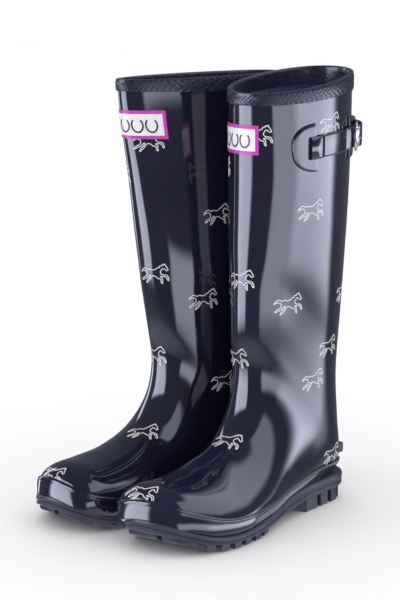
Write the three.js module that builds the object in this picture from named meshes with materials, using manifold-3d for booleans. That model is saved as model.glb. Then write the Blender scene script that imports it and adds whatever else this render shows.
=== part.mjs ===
// A pair of tall rubber riding wellingtons with a strap and buckle on the outer side of each shaft.
// Millimetres, +Z up, toes towards -Y. The wearer's left boot stands at +X, the right boot at -X.
import * as THREE from 'three';
import { mergeVertices } from 'three/addons/utils/BufferGeometryUtils.js';
import Module from 'manifold-3d';

const wasm = await Module();
wasm.setup();

// Overall sizes. The outlines below are drawn for these design values and follow any change.
const designLength = 268;
const designWidth = 104;
const designRim = 384;
const soleLength = 268;
const ballWidth = 104;
const rimHeight = 384;
const rimRise = 17;
const footTop = 60;

// Walls and clearances.
const wall = 2.4;
const liningThickness = 1;
const clearance = 0.3;
const fittingGap = 0.4;
const randThickness = 1.8;
const footbedThickness = 5;
const bindingHeight = 11.5;
const bindingThickness = 1.5;

// Sole.
const treadInset = 3.5;
const treadDepth = 6;
const grooveWidth = 5;
const groovePitch = 15;
const ledgeThickness = 13;
const heelBreast = 70;

// Heel lug that the other boot pushes against when the boot is taken off.
const lugHeight = 9;
const lugWidth = 44;
const lugDepth = 10;

// Label.
const labelWidth = 54;
const labelHeight = 26;
const labelThickness = 0.6;
const labelDrop = 39;
const labelOffset = -17;

// Strap, pads and buckle.
const strapDrop = 52.5;
const strapSlope = 0.08;
const strapWidth = 20;
const strapThickness = 1.8;
const padThickness = 2;
const padHeight = 43;
const padLength = 25;
const padBack = -28;
const rearPadFront = 26;
const rearPadLength = 38;
const rearPadHeight = 38;
const wireDiameter = 2.4;
const rollerWall = 1;
const rollerAt = 28.5;
const heelBarAt = 47.5;
const prongDiameter = 1.8;
const tabWidth = 15;
const tabThickness = 1;
const tabEnd = 60;
const keeperAt = 70;
const keeperWidth = 6;
const keeperThickness = 1.2;
const strapEnd = 92;

// Stance of each boot: the soft shaft of the right boot is flatter, leans and turns a little.
const spread = 106;
const stances = {
  left: { side: 1, x: spread / 2, y: 0, yaw: 0, flatten: 0, stretch: 0, lean: 0, tilt: 0, twist: 0, level: 0 },
  right: {
    side: -1, x: -spread / 2, y: 9, yaw: -11, flatten: 0.35, stretch: 0.19, lean: 12, tilt: 10, twist: 16, level: 7,
  },
};

// Mesh density.
const around = 18;
const ringStations = [0, 0.5, 1, 2, 3, 4, 5, 6, 6.5, 7, 7.5, 8, 8.5, 9, 9.5, 10, 11, 12, 13, 14];

const lengthScale = soleLength / designLength;
const widthScale = ballWidth / designWidth;
const middle = 130 * lengthScale;

function liftHeight(z) {
  if (z <= footTop) {
    return z;
  }
  return footTop + (z - footTop) * (rimHeight - footTop) / (designRim - footTop);
}

function spline(points) {
  return new THREE.SplineCurve(points.map(([a, b]) => new THREE.Vector2(a, b)));
}

// Stations from the toe to the rim. Each pair of front and back points carries one cross-section.
const frontLine = spline([
  [254.5, 35], [253, 44.5], [247, 53], [234, 58.5], [206, 59.5], [172, 65], [139, 80],
  [120, 106], [116.5, 138], [120, 172], [120.5, 204], [119, 228], [117, 255], [113.5, 305], [113.5, 345],
  [115, designRim],
]);
const backLine = spline([
  [254.3, 31], [253, 22], [249, 17], [238, 13], [216, 7], [185, 4], [142, 6],
  [95, 13], [35, 17], [-3, 25], [-8, 58], [-5, 108], [-10, 175], [-18, 265], [-22.5, 335],
  [-25, designRim + rimRise],
]);
// Half width and sideways offset of each section.
const girthLine = spline([
  [1, -14], [16, -14], [30, -13], [40.5, -11], [48, -5], [49, -1], [43, 2.5],
  [38.5, 2], [37, 1], [38.5, 0], [39, 0], [40.5, 0], [44.5, 0], [47.5, 0], [48, 0], [47.5, 0],
]);
// Roundness of the upper half on the outer and on the inner side: the outer instep falls away flatter.
const shoulderLine = spline([
  [2.1, 2.1], [2.1, 2.1], [2.1, 2.1], [1.9, 2.1], [1.7, 2.1], [1.5, 2.1], [1.5, 2.1], [1.6, 2.1],
  [1.8, 2.1], [2, 2.1], [2.1, 2.1], [2.1, 2.1], [2.1, 2.1], [2.1, 2.1], [2.1, 2.1], [2.1, 2.1],
]);
// Roundness of the lower half (2 is an ellipse) and how far up the section is widest.
const formLine = spline([
  [2, 0.5], [2.4, 0.48], [2.8, 0.45], [3.2, 0.42], [3.5, 0.38], [3.5, 0.36], [3.5, 0.35],
  [3.5, 0.36], [3.3, 0.37], [3.1, 0.4], [2.4, 0.43], [2.2, 0.45], [2.1, 0.47], [2.1, 0.5], [2.1, 0.5],
  [2.1, 0.5],
]);
const stationCount = frontLine.points.length - 1;

// Distance along the shaft as a share of the station line, past the rim and down to the binding's foot.
const pastRim = 60;
const rimShare = (distance) => distance / (pastRim * stationCount);
const belowRim = (distance) => 1 - distance / ((designRim - 345) * stationCount);
const bindingFoot = belowRim(bindingHeight);

function profileNormal(line, t, sign) {
  const step = 0.002;
  const a = line.getPoint(Math.max(t - step, 0));
  const b = line.getPoint(Math.min(t + step, 1));
  const tangent = b.sub(a).normalize();
  return new THREE.Vector2(tangent.y * sign, -tangent.x * sign);
}

// One point of a profile line, moved inwards by `inset`, scaled to the driving sizes.
function profilePoint(line, t, sign, inset) {
  const point = line.getPoint(Math.min(t, 1));
  const extra = Math.max(t - 1, 0) * stationCount * pastRim;
  const along = profileNormal(line, Math.min(t, 1), sign);
  const normal = along.clone();
  point.x *= lengthScale;
  point.y = liftHeight(point.y);
  point.x -= normal.x * inset;
  point.y -= normal.y * inset;
  point.x += -along.y * sign * extra;
  point.y += along.x * sign * extra;
  return point;
}

// Smooth step from the ankle to the rim, used for the lean of a soft shaft.
function shaftRise(z) {
  const t = THREE.MathUtils.clamp((z - 120) / (rimHeight - 120), 0, 1);
  return t * t * (3 - 2 * t);
}

function stretchFore(point, stance, sign) {
  const centre = 50 * lengthScale;
  const rise = shaftRise(point.y);
  point.x = centre + (point.x - centre) * (1 + stance.stretch * rise);
  point.y += sign * stance.level * rise;
  return point;
}

// Point on the boot at station t (0 toe, 1 rim) and angle round the section, inset by `inset`.
function skinPoint(stance, t, angle, inset) {
  const front = stretchFore(profilePoint(frontLine, t, 1, inset), stance, 1);
  const back = stretchFore(profilePoint(backLine, t, -1, inset), stance, -1);
  const girth = girthLine.getPoint(Math.min(t, 1));
  const form = formLine.getPoint(Math.min(t, 1));
  const rise = shaftRise((front.y + back.y) / 2);
  const halfWidth = Math.max(girth.x * widthScale * (1 - stance.flatten * rise) - inset, 0.4);
  const upper = Math.cos(angle) >= 0;
  const shoulder = shoulderLine.getPoint(Math.min(t, 1));
  const roundness = Math.sin(angle) > 0 ? shoulder.x : shoulder.y;
  const power = 2 / (upper ? roundness : form.x);
  const reach = Math.abs(Math.cos(angle)) ** power;
  const side = Math.sign(Math.sin(angle)) * Math.abs(Math.sin(angle)) ** power;
  const share = upper ? form.y + (1 - form.y) * reach : form.y * (1 - reach);
  const across = girth.y * widthScale + side * halfWidth;
  const along = back.x + (front.x - back.x) * share;
  const height = back.y + (front.y - back.y) * share;
  return leanPoint(stance, across, along, height);
}

// Turns and leans a soft shaft, then goes from (across, along, height) to the boot's own axes.
function leanPoint(stance, across, along, height) {
  const rise = shaftRise(height);
  const turn = THREE.MathUtils.degToRad(stance.twist) * stance.side * rise;
  const centre = 50 * lengthScale;
  const a = across * Math.cos(turn) - (along - centre) * Math.sin(turn);
  const b = across * Math.sin(turn) + (along - centre) * Math.cos(turn);
  const x = (a + stance.lean * rise * rise) * stance.side;
  return new THREE.Vector3(x, middle - (centre + b + stance.tilt * rise), height);
}

// ---- solids ----

function buildGeometry(points, faces) {
  const geometry = new THREE.BufferGeometry();
  geometry.setAttribute('position', new THREE.Float32BufferAttribute(points.flatMap((p) => [p.x, p.y, p.z]), 3));
  geometry.setIndex(faces.flat());
  return geometry;
}

function signedVolume(vertices, triangles) {
  const p = (i) => new THREE.Vector3().fromArray(vertices, 3 * i);
  let volume = 0;
  for (let i = 0; i < triangles.length; i += 3) {
    volume += p(triangles[i]).dot(p(triangles[i + 1]).cross(p(triangles[i + 2]))) / 6;
  }
  return volume;
}

function toSolid(geometry) {
  const bare = geometry.clone();
  bare.deleteAttribute('normal');
  bare.deleteAttribute('uv');
  const merged = mergeVertices(bare, 1e-4);
  const vertProperties = new Float32Array(merged.attributes.position.array);
  const triVerts = new Uint32Array(merged.index.array);
  if (signedVolume(vertProperties, triVerts) < 0) {
    triVerts.reverse();
  }
  return new wasm.Manifold(new wasm.Mesh({ numProp: 3, vertProperties, triVerts }));
}

// Closed solid through a list of rings with the same number of points.
function ringSolid(rings) {
  const count = rings[0].length;
  const points = rings.flat();
  const faces = [];
  for (let i = 0; i + 1 < rings.length; i += 1) {
    for (let j = 0; j < count; j += 1) {
      const k = (j + 1) % count;
      const a = i * count;
      const b = a + count;
      faces.push([a + j, a + k, b + k], [a + j, b + k, b + j]);
    }
  }
  const last = rings.length - 1;
  for (const end of [0, last]) {
    const centre = rings[end].reduce((sum, p) => sum.add(p), new THREE.Vector3()).divideScalar(count);
    points.push(centre);
    for (let j = 0; j < count; j += 1) {
      const face = [end * count + j, end * count + (j + 1) % count, points.length - 1];
      faces.push(end === 0 ? face.reverse() : face);
    }
  }
  return toSolid(buildGeometry(points, faces));
}

// Closed ring: the rings form a loop, as a hoop does.
function hoopSolid(rings) {
  const count = rings[0].length;
  const faces = [];
  rings.forEach((ring, i) => {
    const a = i * count;
    const b = ((i + 1) % rings.length) * count;
    for (let j = 0; j < count; j += 1) {
      const k = (j + 1) % count;
      faces.push([a + j, a + k, b + k], [a + j, b + k, b + j]);
    }
  });
  return toSolid(buildGeometry(rings.flat(), faces));
}

// Plate between two matching grids of points.
function plateSolid(inner, outer) {
  const rows = inner.length;
  const columns = inner[0].length;
  const size = rows * columns;
  const points = [...inner.flat(), ...outer.flat()];
  const faces = [];
  const quad = (a, b, c, d) => faces.push([a, b, c], [a, c, d]);
  for (let i = 0; i + 1 < rows; i += 1) {
    for (let j = 0; j + 1 < columns; j += 1) {
      const a = i * columns + j;
      quad(a, a + 1, a + columns + 1, a + columns);
      quad(size + a, size + a + columns, size + a + columns + 1, size + a + 1);
    }
  }
  for (let i = 0; i + 1 < rows; i += 1) {
    const a = i * columns;
    const b = a + columns - 1;
    quad(a, a + columns, size + a + columns, size + a);
    quad(b, size + b, size + b + columns, b + columns);
  }
  for (let j = 0; j + 1 < columns; j += 1) {
    const b = (rows - 1) * columns + j;
    quad(j, size + j, size + j + 1, j + 1);
    quad(b, b + 1, size + b + 1, size + b);
  }
  return toSolid(buildGeometry(points, faces));
}

// Side outline (along, height) pushed across the whole boot.
function sideSolid(outline) {
  const reach = 90 * widthScale;
  const shape = new THREE.Shape(outline.map(([u, z]) => new THREE.Vector2(middle - u, z)));
  const geometry = new THREE.ExtrudeGeometry(shape, { depth: 2 * reach, bevelEnabled: false });
  geometry.applyMatrix4(new THREE.Matrix4().makeBasis(
    new THREE.Vector3(0, 1, 0), new THREE.Vector3(0, 0, 1), new THREE.Vector3(1, 0, 0),
  ));
  geometry.translate(-reach, 0, 0);
  return toSolid(geometry);
}

// Plan outline (across, along) pushed upwards.
function planSolid(stance, outline, bottom, top) {
  const shape = new THREE.Shape(outline.map(([l, u]) => new THREE.Vector2(l * stance.side, middle - u)));
  const geometry = new THREE.ExtrudeGeometry(shape, { depth: top - bottom, bevelEnabled: false });
  geometry.translate(0, 0, bottom);
  return toSolid(geometry);
}

function boxSolid(stance, across, along, height) {
  const size = [across, along, height].map(([a, b]) => b - a);
  const geometry = new THREE.BoxGeometry(...size);
  const centre = [across, along, height].map(([a, b]) => (a + b) / 2);
  geometry.translate(centre[0] * stance.side, middle - centre[1], centre[2]);
  return toSolid(geometry);
}

// Body of the boot between two places on the station line, its surface moved inwards by `inset`.
function bodySolid(stance, inset, from = 0, to = 1) {
  const marks = [...ringStations.map((station) => station / stationCount), bindingFoot, 1];
  const inside = marks.filter((t) => t > from + 1e-6 && t < to - 1e-6);
  const rings = [];
  for (const t of [from, ...inside, to]) {
    const ring = [];
    for (let j = 0; j < around; j += 1) {
      ring.push(skinPoint(stance, t, 2 * Math.PI * j / around, inset));
    }
    rings.push(ring);
  }
  return ringSolid(rings);
}

function toMesh(name, solid, material) {
  const mesh = solid.getMesh();
  const geometry = new THREE.BufferGeometry();
  const positions = new Float32Array((mesh.vertProperties.length / mesh.numProp) * 3);
  for (let i = 0; i < positions.length / 3; i += 1) {
    positions.set(mesh.vertProperties.subarray(i * mesh.numProp, i * mesh.numProp + 3), 3 * i);
  }
  geometry.setAttribute('position', new THREE.BufferAttribute(positions, 3));
  geometry.setIndex(new THREE.BufferAttribute(new Uint32Array(mesh.triVerts), 1));
  geometry.computeVertexNormals();
  const result = new THREE.Mesh(geometry, material);
  result.name = name;
  return result;
}

// ---- materials ----

function standard(color, roughness, metalness = 0) {
  return new THREE.MeshStandardMaterial({ color, roughness, metalness });
}
const gloss = () => standard(0x14142b, 0.12);
const satin = () => standard(0x2a2b38, 0.38);
const textile = () => standard(0x262a55, 0.9);
const metal = () => standard(0xc9c9cf, 0.2, 1);
const pink = () => standard(0xc23ca4, 0.4);

// ---- sole ----

const soleOutline = [
  [0, -13], [24, -7], [37.5, 12], [39, 45], [39, 80], [42, 112], [48.5, 150], [50, 185],
  [45, 216], [31, 240], [8, 255], [-16, 257], [-38, 247], [-51.5, 222], [-54, 185],
  [-48.5, 145], [-40, 105], [-38, 70], [-38, 35], [-36.5, 10], [-23, -8],
];
const soleTopLine = [
  [-40, 25.5], [0, 25.5], [40, 26.5], [70, 26], [110, 22], [145, 16.5], [177, 12.5], [204, 12.2],
  [225, 15.7], [240, 20.7], [254, 28.5], [270, 39],
];
const soleBottomLine = [
  [-40, 14], [0, 14], [66, 13.5], [110, 10.5], [145, 7.5], [177, 6], [204, 6.4], [225, 8.5], [240, 12.5],
  [254, 19], [270, 28],
];
const treadLine = [[130, 6.5], [145, 2.5], [157, 0], [200, 0], [214, 1.2], [228, 4.5], [241, 9.5], [254, 17], [270, 27]];
const randTopLine = [
  [-40, 37.5], [20, 37.5], [40, 38.5], [70, 36.5], [110, 31], [145, 27.5], [177, 26.5], [204, 28],
  [225, 33], [240, 38.5], [254, 45], [270, 54],
];

function scaled(line) {
  return line.map(([u, z]) => [u * lengthScale, z]);
}

// Plan outline of the sole, moved inwards by `inset`.
function outlinePoints(inset) {
  const knots = soleOutline.map(([l, u]) => new THREE.Vector3(l * widthScale, u * lengthScale, 0));
  const curve = new THREE.CatmullRomCurve3(knots, true, 'catmullrom', 0.5);
  const count = 44;
  const points = [];
  for (let i = 0; i < count; i += 1) {
    const point = curve.getPoint(i / count);
    const tangent = curve.getTangent(i / count);
    points.push([point.x - tangent.y * inset, point.y + tangent.x * inset]);
  }
  return points;
}

// Region between two side lines, raised by the two offsets.
function between(lower, lowerLift, upper, upperLift) {
  const bottom = lower.map(([u, z]) => [u, z + lowerLift]);
  const top = upper.map(([u, z]) => [u, z + upperLift]);
  return sideSolid([...bottom, ...top.reverse()]);
}

function floorLine(height) {
  return [[-60, height], [330 * lengthScale, height]];
}

function makeOutsole(stance) {
  const plan = planSolid(stance, outlinePoints(0), -5, 90);
  const plate = between(scaled(soleBottomLine), 0, scaled(soleTopLine), 0).intersect(plan);
  const treadPlan = planSolid(stance, outlinePoints(treadInset), -5, 90);
  const join = 1.5;
  const tread = between(scaled(treadLine), 0, scaled(soleBottomLine).slice(3), join).intersect(treadPlan);
  const breast = heelBreast * lengthScale;
  const heelSide = [[-30, 0], [breast - 2, 0], [breast + 2, ledgeThickness + 1.5], [-30, ledgeThickness + 1.5]];
  let solid = plate.add(tread).add(sideSolid(heelSide).intersect(treadPlan));
  for (const cut of treadGrooves(stance)) {
    solid = solid.subtract(cut);
  }
  return solid;
}

// Grooves across and along the forepart and the heel.
function treadGrooves(stance) {
  const cuts = [];
  const reach = [-80 * widthScale, 80 * widthScale];
  for (let u = 140 * lengthScale; u < 248 * lengthScale; u += groovePitch) {
    const rise = Math.max(u / lengthScale - 205, 0) ** 2 * 0.0055;
    cuts.push(boxSolid(stance, reach, [u, u + grooveWidth], [-5, treadDepth - 1.5 + rise]));
  }
  for (const u of [8, 26, 44]) {
    cuts.push(boxSolid(stance, reach, [u * lengthScale, u * lengthScale + grooveWidth], [-5, treadDepth]));
  }
  const spine = [-grooveWidth / 2 - 3, grooveWidth / 2 - 3];
  cuts.push(boxSolid(stance, spine, [135 * lengthScale, 235 * lengthScale], [-5, treadDepth - 1.5]));
  return cuts;
}

// ---- boot body ----

function makeUpper(stance) {
  const below = between(floorLine(-20), 0, scaled(soleTopLine), clearance);
  return bodySolid(stance, 0).subtract(bodySolid(stance, wall, 0, 1.02)).subtract(below);
}

function makeLining(stance) {
  const outer = wall + clearance;
  const below = between(floorLine(-20), 0, scaled(soleTopLine), clearance);
  return bodySolid(stance, outer, 0, belowRim(3 * clearance))
    .subtract(bodySolid(stance, outer + liningThickness, 0, 1.02)).subtract(below);
}

function makeFootbed(stance) {
  const inset = wall + liningThickness + 2 * clearance;
  const slab = between(scaled(soleTopLine), clearance, scaled(soleTopLine), clearance + footbedThickness);
  return bodySolid(stance, inset).intersect(slab);
}

function makeRand(stance) {
  const shell = bodySolid(stance, -clearance - randThickness).subtract(bodySolid(stance, -clearance));
  return shell.intersect(between(scaled(soleTopLine), clearance, scaled(randTopLine), 0));
}

function makeLug(stance) {
  const inner = -2 * clearance - randThickness;
  const shell = bodySolid(stance, inner - lugDepth).subtract(bodySolid(stance, -clearance));
  const bottom = randTopLine[0][1] + clearance;
  const block = boxSolid(stance, [-lugWidth / 2, lugWidth / 2], [-60, 12 * lengthScale], [bottom, bottom + lugHeight]);
  return shell.intersect(block);
}


// Tape folded over the rim: one leg outside, one inside, closed over the top.
function makeBinding(stance) {
  const inner = wall + liningThickness + 2 * clearance;
  const over = rimShare(clearance);
  const top = rimShare(clearance + bindingThickness);
  const full = bodySolid(stance, -clearance - bindingThickness, bindingFoot, 1 + top)
    .subtract(bodySolid(stance, inner + bindingThickness / 2, bindingFoot - 0.02, 1.03));
  const room = bodySolid(stance, -clearance, bindingFoot - 0.01, 1 + over)
    .subtract(bodySolid(stance, inner, bindingFoot - 0.02, 1.03));
  return full.subtract(room);
}

// ---- fittings on the shaft ----

// Maps (a, z, lift) on the shaft to a point: a is the distance round the shaft from the start
// angle at the reference height, z the height, lift the distance off the surface.
function shaftMap(stance, height, startAngle) {
  const samples = [];
  const span = Math.PI;
  const count = 180;
  let length = 0;
  let previous = null;
  for (let i = 0; i <= count; i += 1) {
    const angle = startAngle - span + 2 * span * i / count;
    const point = atHeight(stance, angle, height);
    length += previous ? point.distanceTo(previous) : 0;
    samples.push({ angle, length });
    previous = point;
  }
  const origin = samples[count / 2].length;
  const angleAt = (a) => {
    const target = origin + a;
    const i = Math.max(samples.findIndex((s) => s.length >= target), 1);
    const [p, q] = [samples[i - 1], samples[i]];
    return p.angle + (q.angle - p.angle) * (target - p.length) / (q.length - p.length);
  };
  return (a, z, lift) => {
    const angle = angleAt(a);
    const point = atHeight(stance, angle, z);
    const round = atHeight(stance, angle + 0.02, z).sub(atHeight(stance, angle - 0.02, z));
    const up = atHeight(stance, angle, z + 2).sub(atHeight(stance, angle, z - 2));
    const normal = round.cross(up).normalize();
    const centre = atHeight(stance, angle + Math.PI, z);
    if (normal.dot(point.clone().sub(centre)) < 0) {
      normal.negate();
    }
    return point.addScaledVector(normal, lift);
  };
}

// Surface point at a height on the shaft, found by halving along the stations.
function atHeight(stance, angle, height) {
  let [low, high] = [10 / stationCount, 1.01];
  for (let i = 0; i < 22; i += 1) {
    const t = (low + high) / 2;
    if (skinPoint(stance, t, angle, 0).z < height) {
      low = t;
    } else {
      high = t;
    }
  }
  return skinPoint(stance, (low + high) / 2, angle, 0);
}

const strapHeight = rimHeight + rimRise / 2 - strapDrop;

// Plate on the shaft from a list of rows, each row a list of [a, z]; lifts give bottom and top.
function shaftPlate(map, rows, bottom, top) {
  const lay = (lift) => rows.map((row) => row.map(([a, z]) => map(a, z, lift(a))));
  return plateSolid(lay(bottom), lay(top));
}

// Half-moon pad: a straight edge at `edge`, a round one `reach` away from it.
function halfMoon(map, edge, reach, height) {
  const rows = [];
  const count = 10;
  for (let i = 0; i <= count; i += 1) {
    const v = -Math.cos(Math.PI * i / count);
    const width = Math.max(Math.sqrt(Math.max(1 - v ** 2, 0)), 0.12);
    const row = [];
    for (let j = 0; j <= 4; j += 1) {
      const a = edge + reach * width * (1 - j / 4) - strapSlope * v * height / 2;
      row.push([a, strapHeight + v * height / 2 + strapSlope * a]);
    }
    rows.push(row);
  }
  return shaftPlate(map, rows, () => fittingGap, () => fittingGap + padThickness);
}

function strapRows(from, to, width, step) {
  const count = Math.max(Math.round((to - from) / step), 1);
  const rows = [];
  for (let i = 0; i <= count; i += 1) {
    const a = from + (to - from) * i / count;
    const centre = strapHeight + strapSlope * a;
    rows.push([-1, -1 / 3, 1 / 3, 1].map((k) => [a, centre + k * width / 2]));
  }
  return rows;
}

function interpolate(table, a) {
  const i = Math.max(table.findIndex(([x]) => x >= a), 1);
  const last = table.length - 1;
  const [p, q] = a > table[last][0] ? [table[last - 1], table[last]] : [table[i - 1], table[i]];
  const share = THREE.MathUtils.clamp((a - p[0]) / (q[0] - p[0]), 0, 1);
  return p[1] + (q[1] - p[1]) * share;
}

// Heights off the shaft, stacked up from the clearances.
const padTop = fittingGap + padThickness;
const strapLow = 2 * clearance;
const strapOnPad = padTop + clearance;
const wireRadius = wireDiameter / 2;
const rollerOuter = wireRadius + clearance + rollerWall;
const rollerLift = strapOnPad + strapThickness + clearance + rollerOuter;
const tabLoop = wireRadius + clearance + tabThickness;
const heelBarLift = padTop + clearance + tabLoop;
const overBar = heelBarLift + tabLoop + clearance + 0.3;
const overTab = overBar - 1;

// Underside of the strap along its run.
const strapPath = [
  [padBack - 8, strapOnPad], [padBack + 3, strapOnPad], [padBack + 10, strapLow], [rearPadFront - 10, strapLow],
  [rearPadFront - 3, strapOnPad], [rollerAt + 2, strapOnPad], [heelBarAt - 3, overBar], [heelBarAt + 3, overBar],
  [tabEnd + 1, overTab], [keeperAt - 5, padTop + 2 * clearance + keeperThickness],
  [keeperAt + 5, padTop + 2 * clearance + keeperThickness], [strapEnd, strapLow + keeperThickness],
];

function makeStrap(map, frame) {
  const rows = strapRows(padBack - 8, strapEnd, strapWidth, 3.5);
  const solid = shaftPlate(
    map, rows, (a) => interpolate(strapPath, a), (a) => interpolate(strapPath, a) + strapThickness,
  );
  const slotWidth = prongDiameter + 1.8;
  return solid.subtract(frameBox(frame, [-16, 1.2], [-slotWidth / 2, slotWidth / 2], [-12, 12]));
}

function makePadPlate(map, from, to, width, bottom, thickness) {
  return shaftPlate(map, strapRows(from, to, width, 3), () => bottom, () => bottom + thickness);
}

// Rigid axes of the buckle: origin on the heel bar, `run` from the roller bar to the heel bar,
// `bar` along both bars, `out` away from the shaft.
function buckleFrame(map) {
  const heel = map(heelBarAt, strapHeight + strapSlope * heelBarAt, heelBarLift);
  const roller = map(rollerAt, strapHeight + strapSlope * rollerAt, rollerLift);
  const above = map(heelBarAt, strapHeight + strapSlope * heelBarAt + 10, heelBarLift);
  const below = map(heelBarAt, strapHeight + strapSlope * heelBarAt - 10, heelBarLift);
  const run = heel.clone().sub(roller);
  const length = run.length();
  run.normalize();
  const bar = above.sub(below);
  bar.addScaledVector(run, -bar.dot(run)).normalize();
  const outward = map(heelBarAt, strapHeight + strapSlope * heelBarAt, heelBarLift + 5).sub(heel);
  const out = run.clone().cross(bar);
  if (out.dot(outward) < 0) {
    out.negate();
  }
  return { origin: heel, run, bar, out, length };
}

function framePoint(frame, run, bar, out) {
  return frame.origin.clone().addScaledVector(frame.run, run).addScaledVector(frame.bar, bar)
    .addScaledVector(frame.out, out);
}

function frameBox(frame, run, bar, out) {
  const rings = run.map((r) => [
    framePoint(frame, r, bar[0], out[0]), framePoint(frame, r, bar[1], out[0]),
    framePoint(frame, r, bar[1], out[1]), framePoint(frame, r, bar[0], out[1]),
  ]);
  return ringSolid(rings);
}

// Round bar or bush along the bar direction at (run, out).
function frameCylinder(frame, run, out, radius, half, sides = 14) {
  const rings = [-half, half].map((b) => {
    const ring = [];
    for (let i = 0; i < sides; i += 1) {
      const angle = 2 * Math.PI * (i + 0.5) / sides;
      ring.push(framePoint(frame, run + radius * Math.cos(angle), b, out + radius * Math.sin(angle)));
    }
    return ring;
  });
  return ringSolid(rings);
}

const frameInner = strapWidth / 2 + 1.1;

// Rectangular wire hoop with round corners.
function makeBuckleFrame(frame) {
  const halfHeight = frameInner + wireRadius;
  const corner = 3.2;
  const centres = [
    [-corner, halfHeight - corner, 0], [-frame.length + corner, halfHeight - corner, 90],
    [-frame.length + corner, corner - halfHeight, 180], [-corner, corner - halfHeight, 270],
  ];
  const rings = [];
  for (const [run, bar, start] of centres) {
    for (const step of [0, 30, 60, 90]) {
      const angle = THREE.MathUtils.degToRad(start + step);
      const ring = [];
      for (let i = 0; i < 8; i += 1) {
        const turn = 2 * Math.PI * (i + 0.5) / 8;
        const radius = corner + wireRadius * Math.cos(turn);
        const r = run + radius * Math.cos(angle);
        const b = bar + radius * Math.sin(angle);
        ring.push(framePoint(frame, r, b, wireRadius * Math.sin(turn)));
      }
      rings.push(ring);
    }
  }
  return hoopSolid(rings);
}

function makeRoller(frame) {
  const half = frameInner - 2.6;
  return frameCylinder(frame, -frame.length, 0, rollerOuter, half)
    .subtract(frameCylinder(frame, -frame.length, 0, wireRadius + clearance, half + 1));
}

function makeProng(frame) {
  const bush = wireRadius + clearance + 0.9;
  const half = prongDiameter / 2 + 0.3;
  const tipOut = rollerOuter + clearance + prongDiameter / 2;
  const tipRun = -frame.length - 2.5;
  const rings = [[-wireRadius, 0.2], [-frame.length * 0.55, tipOut * 0.55], [-frame.length + 2, tipOut], [tipRun, tipOut]]
    .map(([run, out], index) => {
      const radius = prongDiameter / 2 * (index === 3 ? 0.6 : 1);
      const ring = [];
      for (let i = 0; i < 8; i += 1) {
        const angle = 2 * Math.PI * (i + 0.5) / 8;
        ring.push(framePoint(frame, run, radius * Math.cos(angle), out + radius * Math.sin(angle)));
      }
      return ring;
    });
  return frameCylinder(frame, 0, 0, bush, half)
    .add(ringSolid(rings))
    .subtract(frameCylinder(frame, 0, 0, wireRadius + clearance, half + 2));
}

// Tab: a strip on the rear pad that loops round the heel bar, with a slot for the prong.
function makeTab(map, frame) {
  const strip = makePadPlate(map, heelBarAt + 2, tabEnd, tabWidth, padTop + clearance, 2 * tabThickness);
  const loop = frameCylinder(frame, 0, 0, tabLoop, tabWidth / 2, 16);
  const hollow = frameCylinder(frame, 0, 0, wireRadius + clearance, tabWidth, 16);
  const slot = prongDiameter / 2 + 0.6 + clearance;
  const cut = frameBox(frame, [-6, tabLoop + 0.6], [-slot, slot], [-6, 6]);
  return strip.add(loop).subtract(hollow).subtract(cut);
}

// Fixed loop that holds the loose end of the strap.
function makeKeeper(map) {
  const half = strapWidth / 2 + 0.8;
  const low = fittingGap;
  const high = padTop + 2 * clearance + keeperThickness + strapThickness + 2 * clearance;
  const shell = (margin, bottom, top) => shaftPlate(
    map, strapRows(keeperAt - keeperWidth / 2 - margin, keeperAt + keeperWidth / 2 + margin,
      2 * (half + (margin > 0 ? 0 : keeperThickness)), 3), () => bottom, () => top,
  );
  return shell(0, low, high + keeperThickness).subtract(shell(2, low + keeperThickness, high));
}

// The facets of a longer boot stand further off its true surface, so the label clears them by more.
const labelGap = fittingGap * lengthScale;

function makeLabel(stance) {
  const height = rimHeight + stance.level - labelDrop;
  const map = shaftMap(stance, height, 0);
  const rows = [];
  const steps = 20;
  for (let i = 0; i <= steps; i += 1) {
    const a = labelWidth * (i / steps - 0.5) + labelOffset;
    rows.push([-1, -0.5, 0, 0.5, 1].map((k) => [a, height + k * labelHeight / 2]));
  }
  return shaftPlate(map, rows, () => labelGap, () => labelGap + labelThickness);
}

// ---- one boot ----

function makeBoot(name) {
  const stance = stances[name];
  const map = shaftMap(stance, strapHeight, Math.PI / 2);
  const frame = buckleFrame(map);
  const group = new THREE.Group();
  const add = (part, solid, material) => group.add(toMesh(`${name}_${part}`, solid, material));
  add('outsole', makeOutsole(stance), satin());
  add('footbed', makeFootbed(stance), textile());
  add('upper', makeUpper(stance), gloss());
  add('lining', makeLining(stance), textile());
  add('rand', makeRand(stance), gloss());
  add('kick_lug', makeLug(stance), gloss());
  add('binding', makeBinding(stance), gloss());
  add('label', makeLabel(stance), pink());
  add('strap_pad', halfMoon(map, padBack, -padLength, padHeight), gloss());
  add('buckle_pad', halfMoon(map, rearPadFront, rearPadLength, rearPadHeight), gloss());
  add('strap', makeStrap(map, frame), gloss());
  add('buckle_tab', makeTab(map, frame), gloss());
  add('strap_keeper', makeKeeper(map), gloss());
  add('buckle_frame', makeBuckleFrame(frame), metal());
  add('buckle_roller', makeRoller(frame), metal());
  add('buckle_prong', makeProng(frame), metal());
  group.rotation.z = THREE.MathUtils.degToRad(stance.yaw);
  group.position.set(stance.x, stance.y, 0);
  return group;
}

const group = new THREE.Group();
group.add(makeBoot('left'), makeBoot('right'));

// The origin is the centre of the pair's footprint, on the floor.
const bounds = new THREE.Box3().setFromObject(group, true);
group.position.set(-(bounds.min.x + bounds.max.x) / 2, -(bounds.min.y + bounds.max.y) / 2, -bounds.min.z);

export default group;
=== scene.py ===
import math

import bmesh
import bpy
from mathutils import Matrix, Vector
from mathutils.bvhtree import BVHTree


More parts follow.
